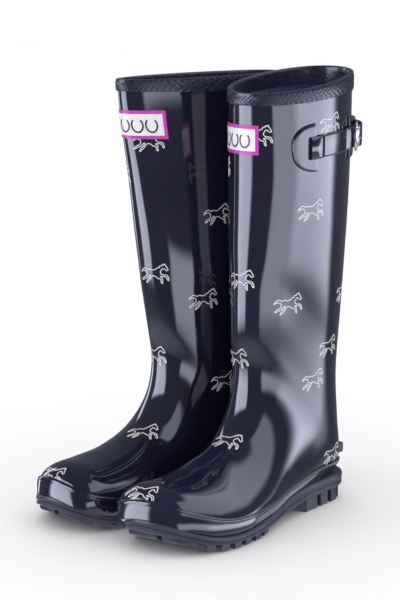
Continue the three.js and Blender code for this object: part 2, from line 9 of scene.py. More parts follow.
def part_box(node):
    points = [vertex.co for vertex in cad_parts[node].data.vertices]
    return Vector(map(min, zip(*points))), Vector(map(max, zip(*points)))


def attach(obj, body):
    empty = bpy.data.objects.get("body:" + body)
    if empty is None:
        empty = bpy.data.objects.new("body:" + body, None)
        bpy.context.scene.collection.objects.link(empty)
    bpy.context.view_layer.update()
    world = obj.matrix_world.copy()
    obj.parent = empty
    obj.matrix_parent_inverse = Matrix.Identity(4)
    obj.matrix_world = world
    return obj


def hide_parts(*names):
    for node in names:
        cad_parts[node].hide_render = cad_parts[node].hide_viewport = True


bl_info = {
    "name": "Tall Rubber Riding Boots",
    "version": (1, 0, 0),
    "blender": (4, 5, 0),
    "location": "3D View > Sidebar > Riding Boots",
    "description": "Glossy rubber riding boots built round their packed frame",
    "category": "Object",
}

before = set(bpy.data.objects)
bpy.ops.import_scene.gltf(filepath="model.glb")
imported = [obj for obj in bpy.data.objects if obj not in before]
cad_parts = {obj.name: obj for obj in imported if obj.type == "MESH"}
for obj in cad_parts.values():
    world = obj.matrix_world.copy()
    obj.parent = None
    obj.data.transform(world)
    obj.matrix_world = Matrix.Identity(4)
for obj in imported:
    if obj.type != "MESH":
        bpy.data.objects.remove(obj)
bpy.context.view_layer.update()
MM = 0.001

# ---- shape of the boots, in millimetres, as in the solid model ----

MIDDLE = 130
CENTRE = 50
RIM_HEIGHT = 384
RIM_RISE = 17
PAST_RIM = 60
LEAN_START = 120
SPREAD = 106
WALL = 2.4
CLEARANCE = 0.3
LINING = 1.0
BINDING_HEIGHT = 11.5
BINDING_THICKNESS = 1.5

STANCES = {
    "left": dict(side=1, x=SPREAD / 2, y=0, yaw=0, flatten=0, stretch=0, lean=0, tilt=0, twist=0, level=0),
    "right": dict(side=-1, x=-SPREAD / 2, y=9, yaw=-11, flatten=0.35, stretch=0.19, lean=12, tilt=10,
                  twist=16, level=7),
}

# Stations from the toe to the rim: front point, back point, half width and offset, roundness below and
# the widest share, and roundness of the upper half on the outer and on the inner side.
FRONT_LINE = [
    (254.5, 35), (253, 44.5), (247, 53), (234, 58.5), (206, 59.5), (172, 65), (139, 80),
    (120, 106), (116.5, 138), (120, 172), (120.5, 204), (119, 228), (117, 255), (113.5, 305),
    (113.5, 345), (115, RIM_HEIGHT),
]
BACK_LINE = [
    (254.3, 31), (253, 22), (249, 17), (238, 13), (216, 7), (185, 4), (142, 6),
    (95, 13), (35, 17), (-3, 25), (-8, 58), (-5, 108), (-10, 175), (-18, 265), (-22.5, 335),
    (-25, RIM_HEIGHT + RIM_RISE),
]
GIRTH_LINE = [
    (1, -14), (16, -14), (30, -13), (40.5, -11), (48, -5), (49, -1), (43, 2.5),
    (38.5, 2), (37, 1), (38.5, 0), (39, 0), (40.5, 0), (44.5, 0), (47.5, 0), (48, 0), (47.5, 0),
]
FORM_LINE = [
    (2, 0.5), (2.4, 0.48), (2.8, 0.45), (3.2, 0.42), (3.5, 0.38), (3.5, 0.36), (3.5, 0.35),
    (3.5, 0.36), (3.3, 0.37), (3.1, 0.4), (2.4, 0.43), (2.2, 0.45), (2.1, 0.47), (2.1, 0.5), (2.1, 0.5),
    (2.1, 0.5),
]
SHOULDER_LINE = [
    (2.1, 2.1), (2.1, 2.1), (2.1, 2.1), (1.9, 2.1), (1.7, 2.1), (1.5, 2.1), (1.5, 2.1), (1.6, 2.1),
    (1.8, 2.1), (2, 2.1), (2.1, 2.1), (2.1, 2.1), (2.1, 2.1), (2.1, 2.1), (2.1, 2.1), (2.1, 2.1),
]
STATIONS = len(FRONT_LINE) - 1

SOLE_OUTLINE = [
    (0, -13), (24, -7), (37.5, 12), (39, 45), (39, 80), (42, 112), (48.5, 150), (50, 185),
    (45, 216), (31, 240), (8, 255), (-16, 257), (-38, 247), (-51.5, 222), (-54, 185),
    (-48.5, 145), (-40, 105), (-38, 70), (-38, 35), (-36.5, 10), (-23, -8),
]
SOLE_TOP = [
    (-40, 25.5), (0, 25.5), (40, 26.5), (70, 26), (110, 22), (145, 16.5), (177, 12.5), (204, 12.2),
    (225, 15.7), (240, 20.7), (254, 28.5), (270, 39),
]
SOLE_BOTTOM = [
    (-40, 14), (0, 14), (66, 13.5), (110, 10.5), (145, 7.5), (177, 6), (204, 6.4), (225, 8.5), (240, 12.5),
    (254, 19), (270, 28),
]
TREAD_BOTTOM = [
    (130, 6.5), (145, 2.5), (157, 0), (200, 0), (214, 1.2), (228, 4.5), (241, 9.5), (254, 17), (270, 27),
]
RAND_TOP = [
    (-40, 37.5), (20, 37.5), (40, 38.5), (70, 36.5), (110, 31), (145, 27.5), (177, 26.5), (204, 28),
    (225, 33), (240, 38.5), (254, 45), (270, 54),
]
CAD_OUTLINE_POINTS = 44


def height_on(line, along):
    """Height of a side line at a place along the boot."""
    for (u0, z0), (u1, z1) in zip(line, line[1:]):
        if along <= u1:
            break
    share = min(max((along - u0) / (u1 - u0), 0), 1)
    return z0 + (z1 - z0) * share


def smooth_height(line, along):
    """The same line with its corners eased."""
    return sum(height_on(line, along + step) for step in (-12, -8, -4, 0, 4, 8, 12)) / 7


def blend_four(p0, p1, p2, p3, w):
    """Uniform Catmull-Rom between p1 and p2."""
    out = []
    for a, b, c, d in zip(p0, p1, p2, p3):
        v0 = (c - a) / 2
        v1 = (d - b) / 2
        out.append((2 * b - 2 * c + v0 + v1) * w ** 3 + (3 * c - 3 * b - 2 * v0 - v1) * w ** 2 + v0 * w + b)
    return out


def on_spline(points, share):
    """Point on an open spline, share 0 to 1."""
    last = len(points) - 1
    place = min(max(share, 0), 1) * last
    i = int(place)
    near = [points[min(max(i + k, 0), last)] for k in (-1, 0, 1, 2)]
    return blend_four(*near, place - i)


def on_loop(points, share):
    """Point on a closed spline, share 0 to 1."""
    count = len(points)
    place = (share % 1) * count
    i = int(place)
    near = [points[(i + k) % count] for k in (-1, 0, 1, 2)]
    return blend_four(*near, place - i)


def shaft_rise(z):
    t = min(max((z - LEAN_START) / (RIM_HEIGHT - LEAN_START), 0), 1)
    return t * t * (3 - 2 * t)


def profile_point(line, share, sign, inset):
    """Point of a front or back line, moved inwards by inset."""
    step = 0.002
    inside = min(share, 1)
    a = on_spline(line, max(inside - step, 0))
    b = on_spline(line, min(inside + step, 1))
    length = math.hypot(b[0] - a[0], b[1] - a[1])
    run = (b[0] - a[0]) / length
    climb = (b[1] - a[1]) / length
    extra = max(share - 1, 0) * STATIONS * PAST_RIM
    u, z = on_spline(line, inside)
    return u - climb * sign * inset + run * extra, z + run * sign * inset + climb * extra


def section(stance, share, inset):
    """What one cross-section needs: front, back, half width and form."""
    rise_of = shaft_rise
    points = []
    for line, sign in ((FRONT_LINE, 1), (BACK_LINE, -1)):
        u, z = profile_point(line, share, sign, inset)
        rise = rise_of(z)
        u = CENTRE + (u - CENTRE) * (1 + stance["stretch"] * rise)
        points.append((u, z + sign * stance["level"] * rise))
    girth = on_spline(GIRTH_LINE, share)
    rise = rise_of((points[0][1] + points[1][1]) / 2)
    half = max(girth[0] * (1 - stance["flatten"] * rise) - inset, 0.4)
    return points[0], points[1], half, girth[1], on_spline(FORM_LINE, share), on_spline(SHOULDER_LINE, share)


def section_point(stance, cut, angle):
    """Point of a cross-section at an angle: 0 is the front, a quarter turn the outer side."""
    front, back, half, middle, form, shoulder = cut
    cosine = math.cos(angle)
    sine = math.sin(angle)
    upper = cosine >= 0
    power = 2 / ((shoulder[0] if sine > 0 else shoulder[1]) if upper else form[0])
    reach = abs(cosine) ** power
    across = middle + math.copysign(abs(sine) ** power, sine) * half
    share = form[1] + (1 - form[1]) * reach if upper else form[1] * (1 - reach)
    along = back[0] + (front[0] - back[0]) * share
    height = back[1] + (front[1] - back[1]) * share
    rise = shaft_rise(height)
    turn = math.radians(stance["twist"]) * stance["side"] * rise
    a = across * math.cos(turn) - (along - CENTRE) * math.sin(turn)
    b = across * math.sin(turn) + (along - CENTRE) * math.cos(turn)
    x = (a + stance["lean"] * rise * rise) * stance["side"]
    return Vector((x, MIDDLE - (CENTRE + b + stance["tilt"] * rise), height))


def skin_ring(stance, share, inset, count):
    cut = section(stance, share, inset)
    return [section_point(stance, cut, 2 * math.pi * j / count) for j in range(count)]


def pair_offset():
    """Where the pair's own axes stand in the frame, from the left outsole's box."""
    outline = [on_loop(SOLE_OUTLINE, i / CAD_OUTLINE_POINTS) for i in range(CAD_OUTLINE_POINTS)]
    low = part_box("left_outsole")[0] / MM
    x = low.x - (STANCES["left"]["x"] + min(l for l, _ in outline))
    y = low.y - (STANCES["left"]["y"] + MIDDLE - max(u for _, u in outline))
    return Vector((x, y, 0))


PAIR_OFFSET = pair_offset()


def boot_matrix(stance):
    """From a boot's own axes, in millimetres, to the frame, in metres."""
    turn = Matrix.Rotation(math.radians(stance["yaw"]), 4, "Z")
    move = Matrix.Translation(PAIR_OFFSET + Vector((stance["x"], stance["y"], 0)))
    return Matrix.Scale(MM, 4) @ move @ turn


# ---- meshes ----

def loop_faces(rows, columns, close_rows):
    """Quads over a grid whose columns close into a ring; the rows may close too."""
    faces = []
    for i in range(rows if close_rows else rows - 1):
        low = i * columns
        high = ((i + 1) % rows) * columns
        for j in range(columns):
            k = (j + 1) % columns
            faces.append((low + j, low + k, high + k, high + j))
    return faces


def tube(rings, centre_ends=True):
    """Closed skin through rings, its two ends closed to their centres."""
    count = len(rings[0])
    points = [p for ring in rings for p in ring]
    faces = loop_faces(len(rings), count, False)
    for end, ring in ((0, rings[0]), (len(rings) - 1, rings[-1])):
        base = end * count
        if not centre_ends:
            face = tuple(range(base, base + count))
            faces.append(face if end else face[::-1])
            continue
        points.append(sum(ring, Vector()) / count)
        for j in range(count):
            face = (base + j, base + (j + 1) % count, len(points) - 1)
            faces.append(face if end else face[::-1])
    return points, faces


def hoop(rings):
    return [p for ring in rings for p in ring], loop_faces(len(rings), len(rings[0]), True)


def joined(parts):
    """Several (points, faces) as one."""
    points = []
    faces = []
    for more_points, more_faces in parts:
        start = len(points)
        points.extend(more_points)
        faces.extend(tuple(start + i for i in face) for face in more_faces)
    return points, faces


def outward(mesh):
    """Turns every face to point out of its own closed shell."""
    work = bmesh.new()
    work.from_mesh(mesh)
    bmesh.ops.recalc_face_normals(work, faces=work.faces)
    work.to_mesh(mesh)
    work.free()


def add_piece(name, shape, boot, material, body=None, replaces=(), crease=40):
    """Makes one piece in a boot's own axes, rides it on its body and gives it its finish."""
    points, faces = shape
    place = boot_matrix(STANCES[boot])
    mesh = bpy.data.meshes.new(name)
    mesh.from_pydata([place @ p for p in points], [], faces)
    mesh.materials.append(material)
    outward(mesh)
    mesh.shade_smooth()
    mesh.set_sharp_from_angle(angle=math.radians(crease))
    piece = bpy.data.objects.new(name, mesh)
    bpy.context.scene.collection.objects.link(piece)
    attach(piece, body or f"{boot}_boot")
    if replaces:
        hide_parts(*replaces)
    return piece


def bevelled(piece, width, segments=2):
    """Rounds a piece's sharp edges for good."""
    work = bmesh.new()
    work.from_mesh(piece.data)
    sharp = [e for e in work.edges if e.is_manifold and e.calc_face_angle(0) > math.radians(40)]
    bmesh.ops.bevel(
        work, geom=sharp, offset=width * MM, segments=segments, affect="EDGES", clamp_overlap=True)
    work.to_mesh(piece.data)
    work.free()
    piece.data.shade_smooth()
    piece.data.set_sharp_from_angle(angle=math.radians(60))


def dress_node(name, material):
    """Gives a carried-over frame piece its finish."""
    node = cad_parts[name]
    node.data.materials.clear()
    node.data.materials.append(material)


SHAFT_STATION = 10
DROP_HEIGHT = 25


class Surface:
    """The outer skin of one boot, dense enough to lay other pieces on."""

    AROUND = 120
    ROWS = 190

    def __init__(self, boot):
        self.boot = boot
        self.stance = STANCES[boot]
        shares = [i / (self.ROWS - 1) * 1.002 for i in range(self.ROWS)]
        self.rings = [skin_ring(self.stance, share, 0, self.AROUND) for share in shares]
        self.shares = shares
        points, faces = tube(self.rings)
        self.tree = BVHTree.FromPolygons(points, faces)
        self.first_shaft_row = next(i for i, share in enumerate(shares) if share >= SHAFT_STATION / STATIONS)

    def column_at(self, column, height):
        rows = self.rings[self.first_shaft_row:]
        for low, high in zip(rows, rows[1:]):
            if high[column].z >= height:
                break
        a = low[column]
        b = high[column]
        return a.lerp(b, (height - a.z) / (b.z - a.z))

    def at_height(self, angle, height):
        """Point on the shaft at an angle and a height."""
        place = (angle / (2 * math.pi) % 1) * self.AROUND
        i = int(place)
        a = self.column_at(i % self.AROUND, height)
        b = self.column_at((i + 1) % self.AROUND, height)
        return a.lerp(b, place - i)

    def drop(self, point, normal, lift):
        """Falls from above a place onto the skin, then rises by lift."""
        hit = self.tree.ray_cast(point + normal * DROP_HEIGHT, -normal)[0]
        if hit is None:
            hit = self.tree.find_nearest(point)[0]
        return hit + normal * lift


SURFACES = {boot: Surface(boot) for boot in STANCES}


class ShaftMap:
    """Unrolls the shaft: distance round it from a start angle, height, and lift off the skin."""

    def __init__(self, surface, height, start):
        self.surface = surface
        self.marks = []
        length = 0
        previous = None
        steps = 240
        for i in range(steps + 1):
            angle = start - math.pi + 2 * math.pi * i / steps
            point = surface.at_height(angle, height)
            length += (point - previous).length if previous else 0
            self.marks.append((length, angle))
            previous = point
        self.zero = self.marks[steps // 2][0]

    def angle_at(self, distance):
        target = self.zero + distance
        for (l0, a0), (l1, a1) in zip(self.marks, self.marks[1:]):
            if l1 >= target:
                break
        return a0 + (a1 - a0) * (target - l0) / (l1 - l0)

    def point(self, distance, height, lift):
        angle = self.angle_at(distance)
        at = self.surface.at_height
        here = at(angle, height)
        around = at(angle + 0.06, height) - at(angle - 0.06, height)
        up = at(angle, height + 3) - at(angle, height - 3)
        normal = around.cross(up).normalized()
        if normal.dot(here - at(angle + math.pi, height)) < 0:
            normal = -normal
        return here + normal * lift


# ---- finishes ----

def new_material(name, color, roughness, metallic=0.0):
    """An empty finish and its shader."""
    material = bpy.data.materials.new(f"boot_{name}")
    material.use_nodes = True
    material.diffuse_color = (*color, 1)
    shader = material.node_tree.nodes["Principled BSDF"]
    shader.inputs["Base Color"].default_value = (*color, 1)
    shader.inputs["Roughness"].default_value = roughness
    shader.inputs["Metallic"].default_value = metallic
    return material, shader


def add_node(material, kind, **inputs):
    node = material.node_tree.nodes.new(kind)
    for name, value in inputs.items():
        node.inputs[name.replace("_", " ")].default_value = value
    return node


def noise(material, scale, detail=3.0):
    """Noise that stays with the piece."""
    place = add_node(material, "ShaderNodeTexCoord")
    texture = add_node(material, "ShaderNodeTexNoise", Scale=scale, Detail=detail)
    material.node_tree.links.new(place.outputs["Object"], texture.inputs["Vector"])
    return texture


def add_bump(material, shader, texture, output, strength, distance):
    bump = add_node(material, "ShaderNodeBump", Strength=strength, Distance=distance)
    links = material.node_tree.links
    links.new(texture.outputs[output], bump.inputs["Height"])
    if shader.inputs["Normal"].links:
        links.new(shader.inputs["Normal"].links[0].from_socket, bump.inputs["Normal"])
    links.new(bump.outputs["Normal"], shader.inputs["Normal"])


def vary(material, shader, texture, socket, low, high, start=0.3, stop=0.7):
    """Drives a shader socket between two values by a texture."""
    spread = add_node(
        material, "ShaderNodeMapRange", From_Min=start, From_Max=stop, To_Min=low, To_Max=high)
    links = material.node_tree.links
    links.new(texture.outputs["Fac"], spread.inputs["Value"])
    links.new(spread.outputs["Result"], shader.inputs[socket])


def tint(material, shader, texture, dark, light):
    """Colours a surface between two shades by a texture."""
    ramp = material.node_tree.nodes.new("ShaderNodeValToRGB")
    ramp.color_ramp.elements[0].position = 0.35
    ramp.color_ramp.elements[0].color = (*dark, 1)
    ramp.color_ramp.elements[1].position = 0.65
    ramp.color_ramp.elements[1].color = (*light, 1)
    links = material.node_tree.links
    links.new(texture.outputs["Fac"], ramp.inputs["Fac"])
    links.new(ramp.outputs["Color"], shader.inputs["Base Color"])


def shade(color, factor):
    return tuple(min(c * factor, 1) for c in color[:3])


def gloss_rubber(finishes):
    """Lacquered rubber: deep navy, almost a mirror, with the slow waves of a dipped coat."""
    color = finishes.navy
    material, shader = new_material("gloss_rubber", color[:3], 0.06)
    shader.inputs["Coat Weight"].default_value = 1.0
    shader.inputs["Coat Roughness"].default_value = 0.03
    shader.inputs["Specular IOR Level"].default_value = 0.6
    waves = noise(material, 14.0, 1.0)
    add_bump(material, shader, waves, "Fac", 0.25, 0.004)
    skin = noise(material, 160.0, 2.0)
    vary(material, shader, skin, "Roughness", 0.05, 0.12)
    tint(material, shader, waves, shade(color, 0.8), shade(color, 1.2))
    return material


def sole_rubber(finishes):
    """Moulded sole rubber: slate, satin, with a fine grain and scuffed patches."""
    color = finishes.sole
    material, shader = new_material("sole_rubber", color[:3], 0.36)
    grain = noise(material, 900.0, 4.0)
    add_bump(material, shader, grain, "Fac", 0.12, 0.0004)
    patches = noise(material, 45.0, 4.0)
    vary(material, shader, patches, "Roughness", 0.28, 0.46)
    tint(material, shader, patches, shade(color, 0.8), shade(color, 1.25))
    return material


def rim_tape(finishes):
    """Embossed rim tape: the same navy, with pressed relief and worn high spots."""
    color = finishes.navy
    material, shader = new_material("rim_tape", color[:3], 0.22)
    shader.inputs["Coat Weight"].default_value = 0.5
    shader.inputs["Coat Roughness"].default_value = 0.1
    grain = noise(material, 420.0, 4.0)
    add_bump(material, shader, grain, "Fac", 0.5, 0.0006)
    vary(material, shader, grain, "Roughness", 0.16, 0.4)
    tint(material, shader, grain, shade(color, 0.9), shade(color, 2.2))
    return material


def knit(name, color, scale):
    """Knitted cloth: fine ribs both ways, soft and slightly napped."""
    material, shader = new_material(name, color[:3], 0.85)
    shader.inputs["Sheen Weight"].default_value = 0.35
    place = add_node(material, "ShaderNodeTexCoord")
    for direction, strength in (("Z", 0.5), ("X", 0.35), ("Y", 0.35)):
        ribs = add_node(material, "ShaderNodeTexWave", Scale=scale, Distortion=1.2, Detail=2.0)
        ribs.bands_direction = direction
        material.node_tree.links.new(place.outputs["Object"], ribs.inputs["Vector"])
        add_bump(material, shader, ribs, "Fac", strength, 0.0006)
    fuzz = noise(material, 500.0, 5.0)
    tint(material, shader, fuzz, shade(color, 0.65), shade(color, 1.5))
    return material


def lining_fabric(finishes):
    return knit("lining_fabric", finishes.lining, 260.0)


def insole_fabric(finishes):
    return knit("insole_fabric", finishes.lining, 180.0)


def film(name, color):
    """Printed gloss film: even colour with a little mottling and a slight orange peel."""
    material, shader = new_material(name, color[:3], 0.3)
    mottle = noise(material, 240.0, 3.0)
    add_bump(material, shader, mottle, "Fac", 0.1, 0.0003)
    vary(material, shader, mottle, "Roughness", 0.22, 0.38)
    tint(material, shader, mottle, shade(color, 0.94), shade(color, 1.04))
    return material


def buckle_metal(finishes):
    """Polished nickel: bright, with fine wear and a trace of brushing."""
    color = finishes.metal
    material, shader = new_material("buckle_metal", color[:3], 0.14, 1.0)
    wear = noise(material, 320.0, 4.0)
    add_bump(material, shader, wear, "Fac", 0.08, 0.0003)
    vary(material, shader, wear, "Roughness", 0.08, 0.26)
    tint(material, shader, wear, shade(color, 0.85), shade(color, 1.08))
    return material


def studio_floor(finishes):
    """Seamless white paper."""
    color = finishes.floor
    material, shader = new_material("studio_floor", color[:3], 0.7)
    fibre = noise(material, 60.0, 4.0)
    add_bump(material, shader, fibre, "Fac", 0.05, 0.0004)
    vary(material, shader, fibre, "Roughness", 0.62, 0.78)
    return material


FINISH_MAKERS = {
    "gloss_rubber": gloss_rubber,
    "sole_rubber": sole_rubber,
    "rim_tape": rim_tape,
    "lining_fabric": lining_fabric,
    "insole_fabric": insole_fabric,
    "label_border": lambda finishes: film("label_border", finishes.label_border),
    "label_face": lambda finishes: film("label_face", finishes.label_face),
    "label_mark": lambda finishes: film("label_mark", finishes.label_mark),
    "print_white": lambda finishes: film("print_white", finishes.print_white),
    "buckle_metal": buckle_metal,
    "studio_floor": studio_floor,
}


MADE_FINISHES = {}


def finish(context, name):
    """The named finish, made the first time it is asked for."""
    if name not in MADE_FINISHES:
        MADE_FINISHES[name] = FINISH_MAKERS[name](context.scene.riding_boot_finishes)
    return MADE_FINISHES[name]


# ---- sizes and colours ----

def millimetres(name, description, default):
    return bpy.props.FloatProperty(name=name, description=description, default=default, min=0.0)


def colour(name, description, default):
    return bpy.props.FloatVectorProperty(
        name=name, description=description, default=(*default, 1), size=4, subtype="COLOR", min=0.0, max=1.0)


class RidingBootSizes(bpy.types.PropertyGroup):
    """Sizes of the fittings, in millimetres."""

    label_width: millimetres("Label width", "Length of the label round the shaft", 54)
    label_height: millimetres("Label height", "Height of the label", 26)
    label_border: millimetres("Label border", "Width of the label's coloured border", 3.2)
    label_drop: millimetres("Label drop", "From the front of the rim down to the label's middle", 39)
    strap_drop: millimetres("Strap drop", "From the middle of the rim down to the strap", 52.5)
    strap_width: millimetres("Strap width", "Width of the strap", 20)
    strap_thickness: millimetres("Strap thickness", "Thickness of the strap", 1.8)
    pad_height: millimetres("Front pad height", "Height of the half-moon pad at the strap's root", 43)
    pad_length: millimetres("Front pad length", "Length of the half-moon pad", 25)
    rear_pad_height: millimetres("Rear pad height", "Height of the buckle's pad", 38)
    rear_pad_length: millimetres("Rear pad length", "Length of the buckle's pad", 38)
    wire: millimetres("Buckle wire", "Diameter of the buckle's wire", 2.4)
    print_line: millimetres("Printed line", "Width of the printed outline", 0.75)
    tread_gap: millimetres("Tread gap", "Width of the grooves between tread blocks", 5)


class RidingBootFinishes(bpy.types.PropertyGroup):
    """Colours of the boots and the stage."""

    navy: colour("Navy", "Colour of the glossy rubber", (0.009, 0.009, 0.026))
    sole: colour("Sole", "Colour of the sole rubber", (0.035, 0.035, 0.06))
    lining: colour("Lining", "Colour of the knitted lining", (0.02, 0.025, 0.1))
    metal: colour("Buckle", "Colour of the buckle's plating", (0.8, 0.79, 0.78))
    label_border: colour("Label border", "Colour of the label's border", (0.55, 0.045, 0.42))
    label_face: colour("Label face", "Colour of the label's middle", (0.82, 0.8, 0.84))
    label_mark: colour("Label mark", "Colour of the mark on the label", (0.03, 0.03, 0.05))
    print_white: colour("Print", "Colour of the printed horses", (0.75, 0.74, 0.78))
    floor: colour("Floor", "Colour of the studio floor", (0.9, 0.9, 0.91))


# ---- rubber body ----

BODY_ROWS = 110
BODY_AROUND = 112


def shell_rings(stance, outer, inner, top):
    """Rings up the outside and back down the inside, level with the sole at the bottom."""
    shares = [i / (BODY_ROWS - 1) * top for i in range(BODY_ROWS)]
    rings = []
    for inset, order in ((outer, shares), (inner, shares[::-1])):
        for share in order:
            ring = skin_ring(stance, share, inset, BODY_AROUND)
            for point in ring:
                floor = height_on(SOLE_TOP, MIDDLE - point.y) + (CLEARANCE if inset == outer else 3)
                point.z = max(point.z, floor - 1.5)
            rings.append(ring)
    return rings


def make_upper(context, boot):
    stance = STANCES[boot]
    shape = tube(shell_rings(stance, 0, WALL, 1))
    add_piece(f"{boot}_rubber_upper", shape, boot, finish(context, "gloss_rubber"),
              replaces=[f"{boot}_upper"])


def make_lining(context, boot):
    stance = STANCES[boot]
    outer = WALL + CLEARANCE
    shape = tube(shell_rings(stance, outer, outer + LINING, 0.997))
    add_piece(f"{boot}_knit_lining", shape, boot, finish(context, "lining_fabric"),
              replaces=[f"{boot}_lining"])
    dress_node(f"{boot}_footbed", finish(context, "insole_fabric"))


def make_binding(context, boot):
    """Tape over the rim, its outer leg pressed with slanting ribs."""
    stance = STANCES[boot]
    around = 420
    foot = 1 - BINDING_HEIGHT / ((RIM_HEIGHT - FRONT_LINE[-2][1]) * STATIONS)
    crown = 1 + (CLEARANCE + BINDING_THICKNESS) / (PAST_RIM * STATIONS)
    outer = -CLEARANCE - BINDING_THICKNESS
    inner = WALL + LINING + 2 * CLEARANCE
    rows = 15
    profile = [(foot, -CLEARANCE, False), (foot, outer + 0.5, False)]
    profile += [(foot + (1 - foot) * i / rows, outer + 0.35, True) for i in range(rows + 1)]
    profile += [(crown, outer + 0.9, False), (crown, (outer + inner) / 2, False), (crown, inner - 0.2, False)]
    profile += [(1 - (1 - foot) * i / 5, inner + BINDING_THICKNESS / 2, False) for i in range(6)]
    profile += [(foot, inner, False)]
    relief = 0.42
    ribs = 74
    rings = []
    for share, inset, pressed in profile:
        cut = section(stance, share, inset)
        ring = []
        for j in range(around):
            angle = 2 * math.pi * j / around
            point = section_point(stance, cut, angle)
            if pressed:
                lane = (share - foot) / (1 - foot)
                slant = math.sin(ribs * angle + (5 if lane < 0.5 else -5) * lane * math.pi)
                edge = min(lane, 1 - lane) * 8
                rise = relief * (0.5 + 0.5 * slant) * min(edge, 1)
                normal = ring_normal(stance, cut, angle)
                point = point + normal * (rise - 0.15)
            ring.append(point)
        rings.append(ring)
    add_piece(f"{boot}_rim_binding", hoop(rings), boot, finish(context, "rim_tape"),
              replaces=[f"{boot}_binding"], crease=50)


def ring_normal(stance, cut, angle):
    """Level outward direction of a cross-section at an angle."""
    step = 0.02
    ahead = section_point(stance, cut, angle + step)
    behind = section_point(stance, cut, angle - step)
    along = ahead - behind
    normal = Vector((along.y, -along.x, 0)).normalized()
    middle = section_point(stance, cut, angle + math.pi)
    here = section_point(stance, cut, angle)
    return normal if normal.dot(here - middle) > 0 else -normal


# ---- sole and rand ----

SOLE_STEPS = 180


def sole_ring(inset, height):
    """Outline of the sole moved inwards, each point at the height its place calls for."""
    ring = []
    for i in range(SOLE_STEPS):
        share = i / SOLE_STEPS
        l, u = on_loop(SOLE_OUTLINE, share)
        l1, u1 = on_loop(SOLE_OUTLINE, share + 0.002)
        l0, u0 = on_loop(SOLE_OUTLINE, share - 0.002)
        length = math.hypot(l1 - l0, u1 - u0)
        l -= (u1 - u0) / length * inset
        u += (l1 - l0) / length * inset
        ring.append((l, u, height(u)))
    return ring


def to_boot(stance, point):
    l, u, z = point
    return Vector((l * stance["side"], MIDDLE - u, z))


def lens_cap(count, base, flip):
    """Faces across a ring, joining each point to its partner on the other side."""
    faces = []
    for i in range(1, count // 2):
        a = i - 1
        b = i
        c = (count - i) % count
        d = (count - i + 1) % count
        face = (base + a, base + b, base + c, base + d) if i > 1 else (base + a, base + b, base + c)
        faces.append(face[::-1] if flip else face)
    middle = count // 2
    last = (base + middle - 1, base + middle, base + middle + 1)
    faces.append(last[::-1] if flip else last)
    return faces


def sole_plate(stance):
    """The sole's plate, with a rounded ledge above and a stepped side."""
    top = lambda u: smooth_height(SOLE_TOP, u)
    low = lambda u: smooth_height(SOLE_BOTTOM, u)
    between = lambda share: (lambda u: low(u) + (top(u) - low(u)) * share)
    levels = [
        (3.0, low), (0.9, lambda u: low(u) + 0.1), (0.35, lambda u: low(u) + 0.9), (0.3, between(0.32)),
        (1.0, between(0.38)), (1.0, between(0.46)), (0.25, between(0.52)), (0, between(0.6)),
        (0, lambda u: top(u) - 1.4), (0.4, lambda u: top(u) - 0.5), (1.2, top), (7.5, top),
    ]
    rings = [[to_boot(stance, p) for p in sole_ring(inset, height)] for inset, height in levels]
    points = [p for ring in rings for p in ring]
    faces = loop_faces(len(rings), SOLE_STEPS, False)
    faces += lens_cap(SOLE_STEPS, 0, True)
    faces += lens_cap(SOLE_STEPS, (len(rings) - 1) * SOLE_STEPS, False)
    return points, faces


def tread_block(stance, start, stop, left, right, bottom, top):
    """One lug: a prism between two places along and two edges across."""
    steps = 5
    rows = []
    for i in range(steps + 1):
        u = start + (stop - start) * i / steps
        rows.append((u, left(u), right(u)))
    plan = [(l, u) for u, l, _ in rows] + [(r, u) for u, _, r in reversed(rows)]
    rings = [
        [to_boot(stance, (l, u, bottom(u))) for l, u in plan],
        [to_boot(stance, (l, u, top(u))) for l, u in plan],
    ]
    return tube(rings, centre_ends=False)


def edge_functions(inset):
    """Inner and outer edge of the tread as functions of the place along."""
    ring = sole_ring(inset, lambda u: 0)
    table = {}
    for sign in (-1, 1):
        side = [(u, l) for l, u, _ in ring if (l + 4) * sign > 0]
        table[sign] = sorted(side)

    def edge(sign):
        def at(u):
            line = table[sign]
            for (u0, l0), (u1, l1) in zip(line, line[1:]):
                if u <= u1:
                    break
            share = min(max((u - u0) / max(u1 - u0, 1e-6), 0), 1)
            return l0 + (l1 - l0) * share
        return at
    return edge(-1), edge(1)


TREAD_INSET = 3.5
TREAD_PITCH = 15
TREAD_SPINE = -3
TREAD_BURIED = 1.2
FOREPART = (145, 249)
HEEL_LUGS = ((-8, 8), (13, 26), (31, 44), (49, 69))
LUG_BEVEL = 0.7


def tread(stance, gap):
    """All lugs under the forepart and the heel."""
    inner, outer = edge_functions(TREAD_INSET)
    blocks = []
    buried = lambda u: height_on(SOLE_BOTTOM, u) + TREAD_BURIED
    bottom = lambda u: height_on(TREAD_BOTTOM, u)
    halves = (
        (inner, lambda u: TREAD_SPINE - gap / 2),
        (lambda u: TREAD_SPINE + gap / 2, outer),
    )
    start, end = FOREPART
    while start + TREAD_PITCH - gap < end:
        for left, right in halves:
            blocks.append(tread_block(stance, start, start + TREAD_PITCH - gap, left, right, bottom, buried))
        start += TREAD_PITCH
    for start, stop in HEEL_LUGS:
        blocks.append(tread_block(stance, start, stop, inner, outer, lambda u: 0, buried))
    return blocks


def make_sole(context, boot):
    stance = STANCES[boot]
    gap = context.scene.riding_boot_sizes.tread_gap
    rubber = finish(context, "sole_rubber")
    add_piece(f"{boot}_sole_plate", sole_plate(stance), boot, rubber,
              replaces=[f"{boot}_outsole"], crease=55)
    lugs = add_piece(f"{boot}_tread", joined(tread(stance, gap)), boot, rubber)
    bevelled(lugs, LUG_BEVEL)


